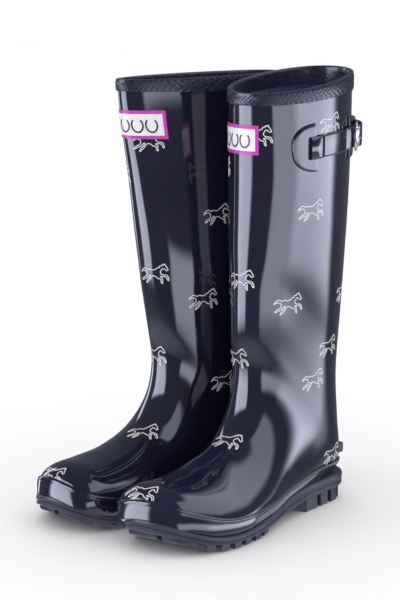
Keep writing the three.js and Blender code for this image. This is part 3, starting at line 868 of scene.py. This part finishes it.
def make_rand(context, boot):
    """Raised band between the sole and the upper."""
    stance = STANCES[boot]
    surface = SURFACES[boot]
    steps = 200
    profile = [
        (0, -0.3), (0, 2.1), (0.72, 2.1), (0.76, 1.7), (0.8, 1.7), (0.84, 2.1), (0.96, 2.0),
        (1, 1.3), (1, -0.3),
    ]
    rings = []
    for i in range(steps):
        l, u = on_loop(SOLE_OUTLINE, i / steps)
        edge = to_boot(stance, (l, u, 0))
        centre = to_boot(stance, (-2 if u > 150 else 0, min(max(u, 22), 205), 0))
        heading = edge - centre
        heading.z = 0
        heading.normalize()
        bottom = smooth_height(SOLE_TOP, u) + CLEARANCE - 0.8
        top = smooth_height(RAND_TOP, u)
        ring = []
        for share, lift in profile:
            start = Vector((centre.x, centre.y, bottom + (top - bottom) * share))
            hit = surface.tree.ray_cast(start, heading)[0]
            if hit is None:
                hit = edge - heading * 3
                hit.z = start.z
            ring.append(hit + heading * lift)
        rings.append(ring)
    points, faces = hoop(rings)
    add_piece(f"{boot}_rand_band", (points, faces), boot, finish(context, "gloss_rubber"),
              replaces=[f"{boot}_rand"], crease=50)
    dress_node(f"{boot}_kick_lug", finish(context, "sole_rubber"))


# ---- label ----

LABEL_OFFSET = -17
# Lifts off the shaft, bottom and top.
BORDER_LIFTS = (0.1, 0.75)
FACE_LIFTS = (0.5, 0.9)
MARK_LIFT = 0.95
MARK_LINE = 1.5
MARK_PLACES = (-13, 0, 13)
MARK_DROP = 0.5


def cloth_plate(rows, low, high):
    """Closed plate over a grid of (distance, height) places, laid by a map of the shaft."""
    rings = []
    for row in rows:
        rings.append([low(a, z) for a, z in row] + [high(a, z) for a, z in reversed(row)])
    return tube(rings, centre_ends=False)


def rounded_grid(width, height, middle, base, columns=24, rows=8):
    return [
        [(middle + width * (i / columns - 0.5), base + height * (j / rows - 0.5)) for j in range(rows + 1)]
        for i in range(columns + 1)
    ]


RIBBON_LOW = -0.1
RIBBON_HIGH = 0.16


def ribbon(points, width, lay, closed=False):
    """Thin raised line through flat points, laid on a surface by lay(point, lift)."""
    count = len(points)
    rings = []
    for i, here in enumerate(points):
        ahead = points[(i + 1) % count] if closed or i + 1 < count else here
        behind = points[i - 1] if closed or i else here
        along = (ahead - behind).normalized()
        side = Vector((-along.y, along.x)) * width / 2
        corners = ((side, RIBBON_LOW), (side, RIBBON_HIGH), (-side, RIBBON_HIGH), (-side, RIBBON_LOW))
        rings.append([lay(here + edge, lift) for edge, lift in corners])
    return hoop(rings) if closed else tube(rings, centre_ends=False)


def horseshoe_mark():
    """A plain horseshoe, open end up, in millimetres."""
    turns = 22
    start = math.radians(-230)
    sweep = math.radians(280)
    return [
        Vector((5.2 * math.cos(start + sweep * i / turns), 6.2 * math.sin(start + sweep * i / turns)))
        for i in range(turns + 1)
    ]


def label_plate(shaft, width, height, middle, lifts):
    """Plate bent to the shaft, round a middle height."""
    low, high = lifts
    rows = rounded_grid(width, height, LABEL_OFFSET, middle)
    return cloth_plate(rows, lambda a, z: shaft.point(a, z, low), lambda a, z: shaft.point(a, z, high))


def make_label(context, boot):
    sizes = context.scene.riding_boot_sizes
    stance = STANCES[boot]
    height = RIM_HEIGHT + stance["level"] - sizes.label_drop
    shaft = ShaftMap(SURFACES[boot], height, 0)
    shape = label_plate(shaft, sizes.label_width, sizes.label_height, height, BORDER_LIFTS)
    add_piece(f"{boot}_label_border", shape, boot, finish(context, "label_border"),
              replaces=[f"{boot}_label"])
    inner_width = sizes.label_width - 2 * sizes.label_border
    inner_height = sizes.label_height - 2 * sizes.label_border
    shape = label_plate(shaft, inner_width, inner_height, height, FACE_LIFTS)
    add_piece(f"{boot}_label_face", shape, boot, finish(context, "label_face"))
    heading = 1 if boot == "left" else -1
    lay = lambda p, lift: shaft.point(LABEL_OFFSET + p.x * heading, height + p.y, MARK_LIFT + lift)
    marks = []
    for place in MARK_PLACES:
        moved = [p + Vector((place, -MARK_DROP)) for p in horseshoe_mark()]
        marks.append(ribbon(moved, MARK_LINE, lay))
    add_piece(f"{boot}_label_mark", joined(marks), boot, finish(context, "label_mark"))


# ---- strap, pads and buckle ----

STRAP_SLOPE = 0.08
PAD_BACK = -28
REAR_PAD_FRONT = 26
ROLLER_AT = 28.5
HEEL_BAR_AT = 47.5
TAB_END = 60
KEEPER_AT = 70
STRAP_END = 92
FITTING_GAP = 0.4
PAD_THICKNESS = 2
KEEPER_THICKNESS = 1.2
ROLLER_WALL = 1
TAB_THICKNESS = 1


def interpolate(table, place):
    for (a0, v0), (a1, v1) in zip(table, table[1:]):
        if place <= a1:
            break
    share = min(max((place - a0) / (a1 - a0), 0), 1)
    share = share * share * (3 - 2 * share)
    return v0 + (v1 - v0) * share


class Fittings:
    """Heights off the shaft and the buckle's own axes, stacked as in the solid model."""

    def __init__(self, boot, sizes):
        self.boot = boot
        self.strap_height = RIM_HEIGHT + RIM_RISE / 2 - sizes.strap_drop
        self.shaft = ShaftMap(SURFACES[boot], self.strap_height, math.pi / 2)
        self.wire = sizes.wire / 2
        self.pad_top = FITTING_GAP + PAD_THICKNESS
        self.on_pad = self.pad_top + CLEARANCE
        self.low = 2 * CLEARANCE
        self.roller_radius = self.wire + CLEARANCE + ROLLER_WALL
        roller_lift = self.on_pad + sizes.strap_thickness + CLEARANCE + self.roller_radius
        loop = self.wire + CLEARANCE + TAB_THICKNESS
        heel_lift = self.pad_top + CLEARANCE + loop
        self.over_bar = heel_lift + loop + 2 * CLEARANCE
        level = self.strap_height + STRAP_SLOPE * HEEL_BAR_AT
        self.origin = self.shaft.point(HEEL_BAR_AT, level, heel_lift)
        roller = self.shaft.point(ROLLER_AT, self.strap_height + STRAP_SLOPE * ROLLER_AT, roller_lift)
        self.run = self.origin - roller
        self.length = self.run.length
        self.run.normalize()
        above = self.shaft.point(HEEL_BAR_AT, level + 10, heel_lift)
        below = self.shaft.point(HEEL_BAR_AT, level - 10, heel_lift)
        self.bar = above - below
        self.bar = (self.bar - self.run * self.bar.dot(self.run)).normalized()
        outward_point = self.shaft.point(HEEL_BAR_AT, level, heel_lift + 5) - self.origin
        self.out = self.run.cross(self.bar)
        if self.out.dot(outward_point) < 0:
            self.out = -self.out
        self.half_gap = sizes.strap_width / 2 + 1.1

    def point(self, run, bar, out):
        return self.origin + self.run * run + self.bar * bar + self.out * out

    def strap_path(self):
        keeper = self.pad_top + 2 * CLEARANCE + KEEPER_THICKNESS
        return [
            (PAD_BACK - 8, self.on_pad), (PAD_BACK + 3, self.on_pad), (PAD_BACK + 10, self.low),
            (REAR_PAD_FRONT - 10, self.low), (REAR_PAD_FRONT - 3, self.on_pad),
            (ROLLER_AT + 2, self.on_pad), (HEEL_BAR_AT - 3, self.over_bar), (HEEL_BAR_AT + 3, self.over_bar),
            (TAB_END + 1, self.over_bar - 1), (KEEPER_AT - 5, keeper), (KEEPER_AT + 5, keeper),
            (STRAP_END, self.low + KEEPER_THICKNESS),
        ]


def half_moon(fit, edge, reach, height):
    """Half-moon pad with a rounded rim: a straight edge, and a round one a reach away from it."""
    rings = []
    lanes = 22
    for level, shrink in ((-0.2, 0), (1.3, 0), (1.8, 0.35), (2.0, 1.2), (2.0, 4.0), (1.9, 9.0)):
        ring = []
        tall = height / 2 - shrink
        for i in range(lanes + 1):
            v = -math.cos(math.pi * i / lanes)
            width = math.sqrt(max(1 - abs(v) ** 2.4, 0)) ** 0.9
            away = math.copysign((abs(reach) - 2 * shrink) * width + shrink, reach)
            ring.append((edge + away, v * tall))
        ring += [(edge + math.copysign(shrink, reach), v * tall) for v in (0.92, 0.4, -0.4, -0.92)]
        laid = []
        for a, v in ring:
            place = a - STRAP_SLOPE * v
            rise = fit.strap_height + v + STRAP_SLOPE * place
            laid.append(fit.shaft.point(place, rise, FITTING_GAP + level))
        rings.append(laid)
    return tube(rings)


def strap_shape(fit, sizes):
    """Strap with rounded edges, thicker and squarer at its root."""
    path = fit.strap_path()
    half = sizes.strap_width / 2
    thick = sizes.strap_thickness
    start = PAD_BACK - 8
    steps = 72
    rings = []
    for i in range(steps + 1):
        a = start + (STRAP_END - start) * i / steps
        low = interpolate(path, a)
        root = max(0, 1 - (a - start) / 9)
        extra = 1.1 if root > 0.12 else 1.1 * root / 0.12
        tip = max(0, (a - STRAP_END + 8) / 8)
        wide = half * math.sqrt(max(1 - tip ** 2.4 * 0.85, 0.05))
        middle = fit.strap_height + STRAP_SLOPE * a
        section_points = [
            (-wide, low + 0.3), (-wide + 0.5, low), (wide - 0.5, low), (wide, low + 0.3),
            (wide, low + thick - 0.6), (wide - 0.5, low + thick - 0.1),
            (wide - 1.6, low + thick + extra * 0.8),
            (0, low + thick + 0.1 + extra), (-wide + 1.6, low + thick + extra * 0.8),
            (-wide + 0.5, low + thick - 0.1), (-wide, low + thick - 0.6),
        ]
        rings.append([fit.shaft.point(a, middle + v, lift) for v, lift in section_points])
    return tube(rings)


def circle(count):
    """Cosine and sine of each step round a circle."""
    turns = [2 * math.pi * i / count for i in range(count)]
    return [(math.cos(turn), math.sin(turn)) for turn in turns]


def buckle_hoop(fit):
    """Rectangular wire frame with round corners."""
    half = fit.half_gap + fit.wire
    corner = 3.2
    centres = [
        (-corner, half - corner, 0), (-fit.length + corner, half - corner, 90),
        (-fit.length + corner, corner - half, 180), (-corner, corner - half, 270),
    ]
    rings = []
    for run, bar, start in centres:
        for step in range(0, 91, 10):
            angle = math.radians(start + step)
            ring = []
            for cosine, sine in circle(18):
                radius = corner + fit.wire * cosine
                along = run + radius * math.cos(angle)
                across = bar + radius * math.sin(angle)
                ring.append(fit.point(along, across, fit.wire * sine))
            rings.append(ring)
    return hoop(rings)


def round_bar(fit, run, out, radius, half, hole=0):
    """Bar or bush along the buckle's bars, with rounded ends; a hole makes it a bush."""
    levels = [(-half, radius - 0.35), (-half + 0.12, radius - 0.1), (-half + 0.4, radius)]
    levels += [(b * -1, r) for b, r in reversed(levels)]
    if hole:
        levels = levels + [(half, hole), (-half, hole)]
    rings = []
    for along, size in levels:
        rings.append([
            fit.point(run + size * cosine, along, out + size * sine)
            for cosine, sine in circle(40)
        ])
    return hoop(rings) if hole else tube(rings)


def prong_shape(fit, diameter=1.8):
    """Prong: a bush on the heel bar and an arm that rests on the roller."""
    tip = fit.roller_radius + CLEARANCE + diameter / 2
    line = [
        (-fit.wire, 0.2, 1), (-fit.length * 0.3, tip * 0.25, 1), (-fit.length * 0.55, tip * 0.55, 1),
        (-fit.length * 0.8, tip * 0.9, 1), (-fit.length + 2, tip, 1), (-fit.length - 1, tip, 0.95),
        (-fit.length - 2.2, tip, 0.75), (-fit.length - 2.5, tip, 0.45),
    ]
    rings = []
    for run, out, size in line:
        radius = diameter / 2 * size
        rings.append([
            fit.point(run, radius * cosine, out + radius * sine)
            for cosine, sine in circle(16)
        ])
    bush = round_bar(fit, 0, 0, fit.wire + CLEARANCE + 0.9, diameter / 2 + 0.3, fit.wire + 0.15)
    return joined([bush, tube(rings)])


def make_strap(context, boot):
    sizes = context.scene.riding_boot_sizes
    fit = Fittings(boot, sizes)
    rubber = finish(context, "gloss_rubber")
    pad = half_moon(fit, PAD_BACK, -sizes.pad_length, sizes.pad_height)
    add_piece(f"{boot}_root_pad", pad, boot, rubber, replaces=[f"{boot}_strap_pad"])
    pad = half_moon(fit, REAR_PAD_FRONT, sizes.rear_pad_length, sizes.rear_pad_height)
    add_piece(f"{boot}_rear_pad", pad, boot, rubber, replaces=[f"{boot}_buckle_pad"])
    add_piece(f"{boot}_strap_band", strap_shape(fit, sizes), boot, rubber,
              replaces=[f"{boot}_strap"], crease=50)
    for node in ("buckle_tab", "strap_keeper"):
        dress_node(f"{boot}_{node}", rubber)


def make_buckle(context, boot):
    fit = Fittings(boot, context.scene.riding_boot_sizes)
    metal = finish(context, "buckle_metal")
    add_piece(f"{boot}_wire_frame", buckle_hoop(fit), boot, metal,
              f"{boot}_buckle_frame", [f"{boot}_buckle_frame"])
    roller = round_bar(fit, -fit.length, 0, fit.roller_radius, fit.half_gap - 2.6, fit.wire + 0.15)
    add_piece(f"{boot}_roller_tube", roller, boot, metal,
              f"{boot}_buckle_roller", [f"{boot}_buckle_roller"])
    add_piece(f"{boot}_prong_pin", prong_shape(fit), boot, metal,
              f"{boot}_buckle_prong", [f"{boot}_buckle_prong"])


# ---- printed horses ----

HORSE = [
    (13, 4.2), (12, 6.2), (10.6, 8.4), (9.8, 9.8), (9.2, 8.6), (7.8, 9.2), (7, 7.6), (5.4, 7.8),
    (4.8, 6), (3, 5.8), (1.6, 4.4), (-1.6, 3.6), (-4.8, 4.2), (-7, 3.4), (-9.4, 4.6), (-12.6, 3.8),
    (-15, 0.6), (-12.4, 2.2), (-10, 2), (-8.4, 1.4), (-7.8, -0.8), (-9.4, -3), (-12.4, -4.4),
    (-14.2, -6.6), (-12.6, -6.4), (-10.4, -5.2), (-7.6, -4.2), (-5.6, -2), (-4, -1.4), (-5, -4),
    (-8, -6.8), (-8.8, -9), (-7.2, -8.2), (-4.4, -5.4), (-2, -2), (1.6, -2.4), (3.6, -4), (6.4, -4.6),
    (6.8, -7.4), (8.4, -8.6), (8, -6.6), (7.8, -3.4), (5.6, -2.2), (8.4, -1.8), (11.4, -2.6),
    (12.6, -5.2), (13.8, -5.6), (13.2, -2.6), (11.8, -0.8), (7.6, -0.2), (6, 1.6), (6.6, 3.4),
    (8.2, 5.4), (10, 4.6), (11.6, 3.4),
]
HORSE_STEPS = 162
# Where the horses stand: station from toe to rim, and degrees round the section from the front.
HORSE_PLACES = {
    "left": [
        (14.3, 84), (14.1, 9), (12.8, 66), (10.7, -6), (10.8, 51), (11, 99), (9.6, 78), (8.4, -18),
        (8.7, 111), (5.9, -6), (1.9, -9), (13.4, -48), (12.5, -100), (13.2, 150), (11.3, -58), (11.6, 172),
        (9.4, -84), (12.1, 122), (6.1, -72),
    ],
    "right": [
        (13.7, -36), (10.5, -15), (10.9, -63), (12.7, -84), (8, 9), (5.7, -18), (9.1, -75), (12.9, 24),
        (11.4, 62), (12.4, 118), (13.2, -150), (11.6, 176), (12, -122), (9.6, 84), (8.6, -112), (1.7, 20),
        (6.1, 72),
    ],
}


def horse_shape(surface, station, degrees, width):
    share = station / STATIONS
    angle = math.radians(degrees)
    centre = section_point(surface.stance, section(surface.stance, share, 0), angle)
    _, normal, _, _ = surface.tree.find_nearest(centre)
    inside = section_point(surface.stance, section(surface.stance, share, 0), angle + math.pi)
    if normal.dot(centre - inside) < 0:
        normal = -normal
    right = Vector((0, 0, 1)).cross(normal).normalized()
    up = normal.cross(right)
    outline = [Vector(on_loop(HORSE, i / HORSE_STEPS)) for i in range(HORSE_STEPS)]

    def lay(point, lift):
        place = centre + right * point.x + up * point.y
        return surface.drop(place, normal, lift)
    return ribbon(outline, width, lay, closed=True)


def make_print(context, boot):
    width = context.scene.riding_boot_sizes.print_line
    surface = SURFACES[boot]
    shapes = [horse_shape(surface, station, degrees, width) for station, degrees in HORSE_PLACES[boot]]
    add_piece(f"{boot}_horse_print", joined(shapes), boot, finish(context, "print_white"))


# ---- stage ----

CAMERA = dict(azimuth=35.1, elevation=10.39, distance=1.8164, target=(0.028, -0.0375, 0.2041), lens=122.8)


def math_node(tree, operation, *values):
    """A math node fed by numbers and by other nodes' outputs."""
    node = tree.nodes.new("ShaderNodeMath")
    node.operation = operation
    for socket, value in zip(node.inputs, values):
        if isinstance(value, (int, float)):
            socket.default_value = value
        else:
            tree.links.new(value, socket)
    return node.outputs["Value"]


def band(tree, angle, low, high, soft):
    """1 between two angles in degrees and 0 outside, with soft edges."""
    middle = math.radians((low + high) / 2)
    half = math.radians((high - low) / 2)
    away = math_node(tree, "ABSOLUTE", math_node(tree, "SUBTRACT", angle, middle))
    ramp = tree.nodes.new("ShaderNodeMapRange")
    ramp.interpolation_type = "SMOOTHSTEP"
    ramp.inputs["From Min"].default_value = half + math.radians(soft)
    ramp.inputs["From Max"].default_value = half - math.radians(soft)
    tree.links.new(away, ramp.inputs["Value"])
    return ramp.outputs["Result"]


# What the gloss reflects: azimuths (0 in front of the toes, 90 at the left boot's side) and elevations.
STUDIO_PANELS = [
    dict(azimuths=(34, 146), elevations=(-16, -1), soft=4, strength=2.6),
    dict(azimuths=(84, 146), elevations=(-12, 0), soft=8, strength=2.2),
    dict(azimuths=(-66, -26), elevations=(-14, 26), soft=4, strength=4.6),
    dict(azimuths=(-110, -101), elevations=(-12, 30), soft=2, strength=2.5),
    dict(azimuths=(50, 170), elevations=(26, 66), soft=6, strength=1.5),
]
STUDIO_DARK = 0.14
STUDIO_FLOOR = 0.6
STUDIO_FILL = 1.2


def studio_brightness(tree):
    """The brightness seen by a reflected ray in each direction."""
    direction = tree.nodes.new("ShaderNodeTexCoord")
    parts = tree.nodes.new("ShaderNodeSeparateXYZ")
    tree.links.new(direction.outputs["Generated"], parts.inputs["Vector"])
    forward = math_node(tree, "MULTIPLY", parts.outputs["Y"], -1.0)
    azimuth = math_node(tree, "ARCTAN2", parts.outputs["X"], forward)
    elevation = math_node(tree, "ARCSINE", parts.outputs["Z"])
    below = band(tree, elevation, -90, -22, 6)
    total = math_node(tree, "MULTIPLY_ADD", below, STUDIO_FLOOR, STUDIO_DARK)
    for panel in STUDIO_PANELS:
        across = band(tree, azimuth, *panel["azimuths"], panel["soft"])
        upright = band(tree, elevation, *panel["elevations"], panel["soft"])
        seen = math_node(tree, "MULTIPLY", across, upright)
        total = math_node(tree, "MULTIPLY_ADD", seen, panel["strength"], total)
    return total


def add_world():
    """White surroundings to the eye and for fill, with bright panels in the dark for the gloss."""
    world = bpy.data.worlds.new("studio")
    bpy.context.scene.world = world
    world.use_nodes = True
    tree = world.node_tree
    seen = tree.nodes["Background"]
    seen.inputs["Color"].default_value = (1, 1, 1, 1)
    seen.inputs["Strength"].default_value = STUDIO_FILL
    panels = tree.nodes.new("ShaderNodeBackground")
    panels.inputs["Color"].default_value = (0.78, 0.81, 1, 1)
    tree.links.new(studio_brightness(tree), panels.inputs["Strength"])
    path = tree.nodes.new("ShaderNodeLightPath")
    mix = tree.nodes.new("ShaderNodeMixShader")
    tree.links.new(path.outputs["Is Glossy Ray"], mix.inputs["Fac"])
    tree.links.new(seen.outputs["Background"], mix.inputs[1])
    tree.links.new(panels.outputs["Background"], mix.inputs[2])
    tree.links.new(mix.outputs["Shader"], tree.nodes["World Output"].inputs["Surface"])


def add_camera():
    turn = math.radians(CAMERA["azimuth"])
    climb = math.radians(CAMERA["elevation"])
    back = Vector((math.sin(turn) * math.cos(climb), -math.cos(turn) * math.cos(climb), math.sin(climb)))
    data = bpy.data.cameras.new("camera")
    data.lens = CAMERA["lens"]
    data.sensor_width = 36
    data.clip_start = 0.05
    data.clip_end = 50
    camera = bpy.data.objects.new("camera", data)
    camera.rotation_mode = "QUATERNION"
    camera.location = Vector(CAMERA["target"]) + back * CAMERA["distance"]
    camera.rotation_quaternion = (-back).to_track_quat("-Z", "Y")
    bpy.context.scene.collection.objects.link(camera)
    bpy.context.scene.camera = camera


HALF_FLOOR = 6


def add_floor(context):
    """White floor that the gloss does not see, so the panels reach below the horizon."""
    mesh = bpy.data.meshes.new("floor")
    corners = [(x * HALF_FLOOR, y * HALF_FLOOR, 0) for x, y in ((-1, -1), (1, -1), (1, 1), (-1, 1))]
    mesh.from_pydata(corners, [], [(0, 1, 2, 3)])
    mesh.materials.append(finish(context, "studio_floor"))
    floor = bpy.data.objects.new("floor", mesh)
    bpy.context.scene.collection.objects.link(floor)
    floor.visible_glossy = False


# ---- operators ----

def for_both(make, context):
    for boot in STANCES:
        make(context, boot)
    return {"FINISHED"}


class RIDINGBOOTS_OT_uppers(bpy.types.Operator):
    """Make the glossy rubber uppers"""

    bl_idname = "riding_boots.uppers"
    bl_label = "Rubber uppers"

    def execute(self, context):
        return for_both(make_upper, context)


class RIDINGBOOTS_OT_linings(bpy.types.Operator):
    """Make the knitted linings and dress the footbeds"""

    bl_idname = "riding_boots.linings"
    bl_label = "Linings and footbeds"

    def execute(self, context):
        return for_both(make_lining, context)


class RIDINGBOOTS_OT_bindings(bpy.types.Operator):
    """Make the embossed tape over the rims"""

    bl_idname = "riding_boots.bindings"
    bl_label = "Rim bindings"

    def execute(self, context):
        return for_both(make_binding, context)


class RIDINGBOOTS_OT_soles(bpy.types.Operator):
    """Make the sole plates and their treads"""

    bl_idname = "riding_boots.soles"
    bl_label = "Soles"

    def execute(self, context):
        return for_both(make_sole, context)


class RIDINGBOOTS_OT_rands(bpy.types.Operator):
    """Make the raised bands and dress the kick lugs"""

    bl_idname = "riding_boots.rands"
    bl_label = "Rands and kick lugs"

    def execute(self, context):
        return for_both(make_rand, context)


class RIDINGBOOTS_OT_labels(bpy.types.Operator):
    """Make the framed labels with their horseshoe marks"""

    bl_idname = "riding_boots.labels"
    bl_label = "Labels"

    def execute(self, context):
        return for_both(make_label, context)


class RIDINGBOOTS_OT_straps(bpy.types.Operator):
    """Make the straps and their half-moon pads"""

    bl_idname = "riding_boots.straps"
    bl_label = "Straps and pads"

    def execute(self, context):
        return for_both(make_strap, context)


class RIDINGBOOTS_OT_buckles(bpy.types.Operator):
    """Make the buckle frames, rollers and prongs"""

    bl_idname = "riding_boots.buckles"
    bl_label = "Buckles"

    def execute(self, context):
        return for_both(make_buckle, context)


class RIDINGBOOTS_OT_print(bpy.types.Operator):
    """Lay the printed running horses on the uppers"""

    bl_idname = "riding_boots.print"
    bl_label = "Printed horses"

    def execute(self, context):
        return for_both(make_print, context)


class RIDINGBOOTS_OT_stage(bpy.types.Operator):
    """Set the floor, the lights and the camera"""

    bl_idname = "riding_boots.stage"
    bl_label = "Stage"

    def execute(self, context):
        context.scene.view_settings.view_transform = "Standard"
        add_floor(context)
        add_world()
        add_camera()
        return {"FINISHED"}


PIECE_OPERATORS = (
    RIDINGBOOTS_OT_uppers, RIDINGBOOTS_OT_linings, RIDINGBOOTS_OT_bindings, RIDINGBOOTS_OT_soles,
    RIDINGBOOTS_OT_rands, RIDINGBOOTS_OT_labels, RIDINGBOOTS_OT_straps, RIDINGBOOTS_OT_buckles,
    RIDINGBOOTS_OT_print, RIDINGBOOTS_OT_stage,
)


class RIDINGBOOTS_PT_panel(bpy.types.Panel):
    """The boots' sizes, colours and pieces."""

    bl_label = "Riding Boots"
    bl_idname = "RIDINGBOOTS_PT_panel"
    bl_space_type = "VIEW_3D"
    bl_region_type = "UI"
    bl_category = "Riding Boots"

    def draw(self, context):
        layout = self.layout
        for group in (context.scene.riding_boot_sizes, context.scene.riding_boot_finishes):
            box = layout.box()
            for name in group.bl_rna.properties.keys():
                if name not in ("rna_type", "name"):
                    box.prop(group, name)
        for operator in PIECE_OPERATORS:
            layout.operator(operator.bl_idname)


CLASSES = (RidingBootSizes, RidingBootFinishes, *PIECE_OPERATORS, RIDINGBOOTS_PT_panel)


def register():
    for cls in CLASSES:
        bpy.utils.register_class(cls)
    bpy.types.Scene.riding_boot_sizes = bpy.props.PointerProperty(type=RidingBootSizes)
    bpy.types.Scene.riding_boot_finishes = bpy.props.PointerProperty(type=RidingBootFinishes)


def unregister():
    del bpy.types.Scene.riding_boot_finishes
    del bpy.types.Scene.riding_boot_sizes
    for cls in reversed(CLASSES):
        bpy.utils.unregister_class(cls)


def main():
    register()
    for operator in PIECE_OPERATORS:
        group, name = operator.bl_idname.split(".")
        getattr(getattr(bpy.ops, group), name)()


if __name__ == "__main__":
    main()
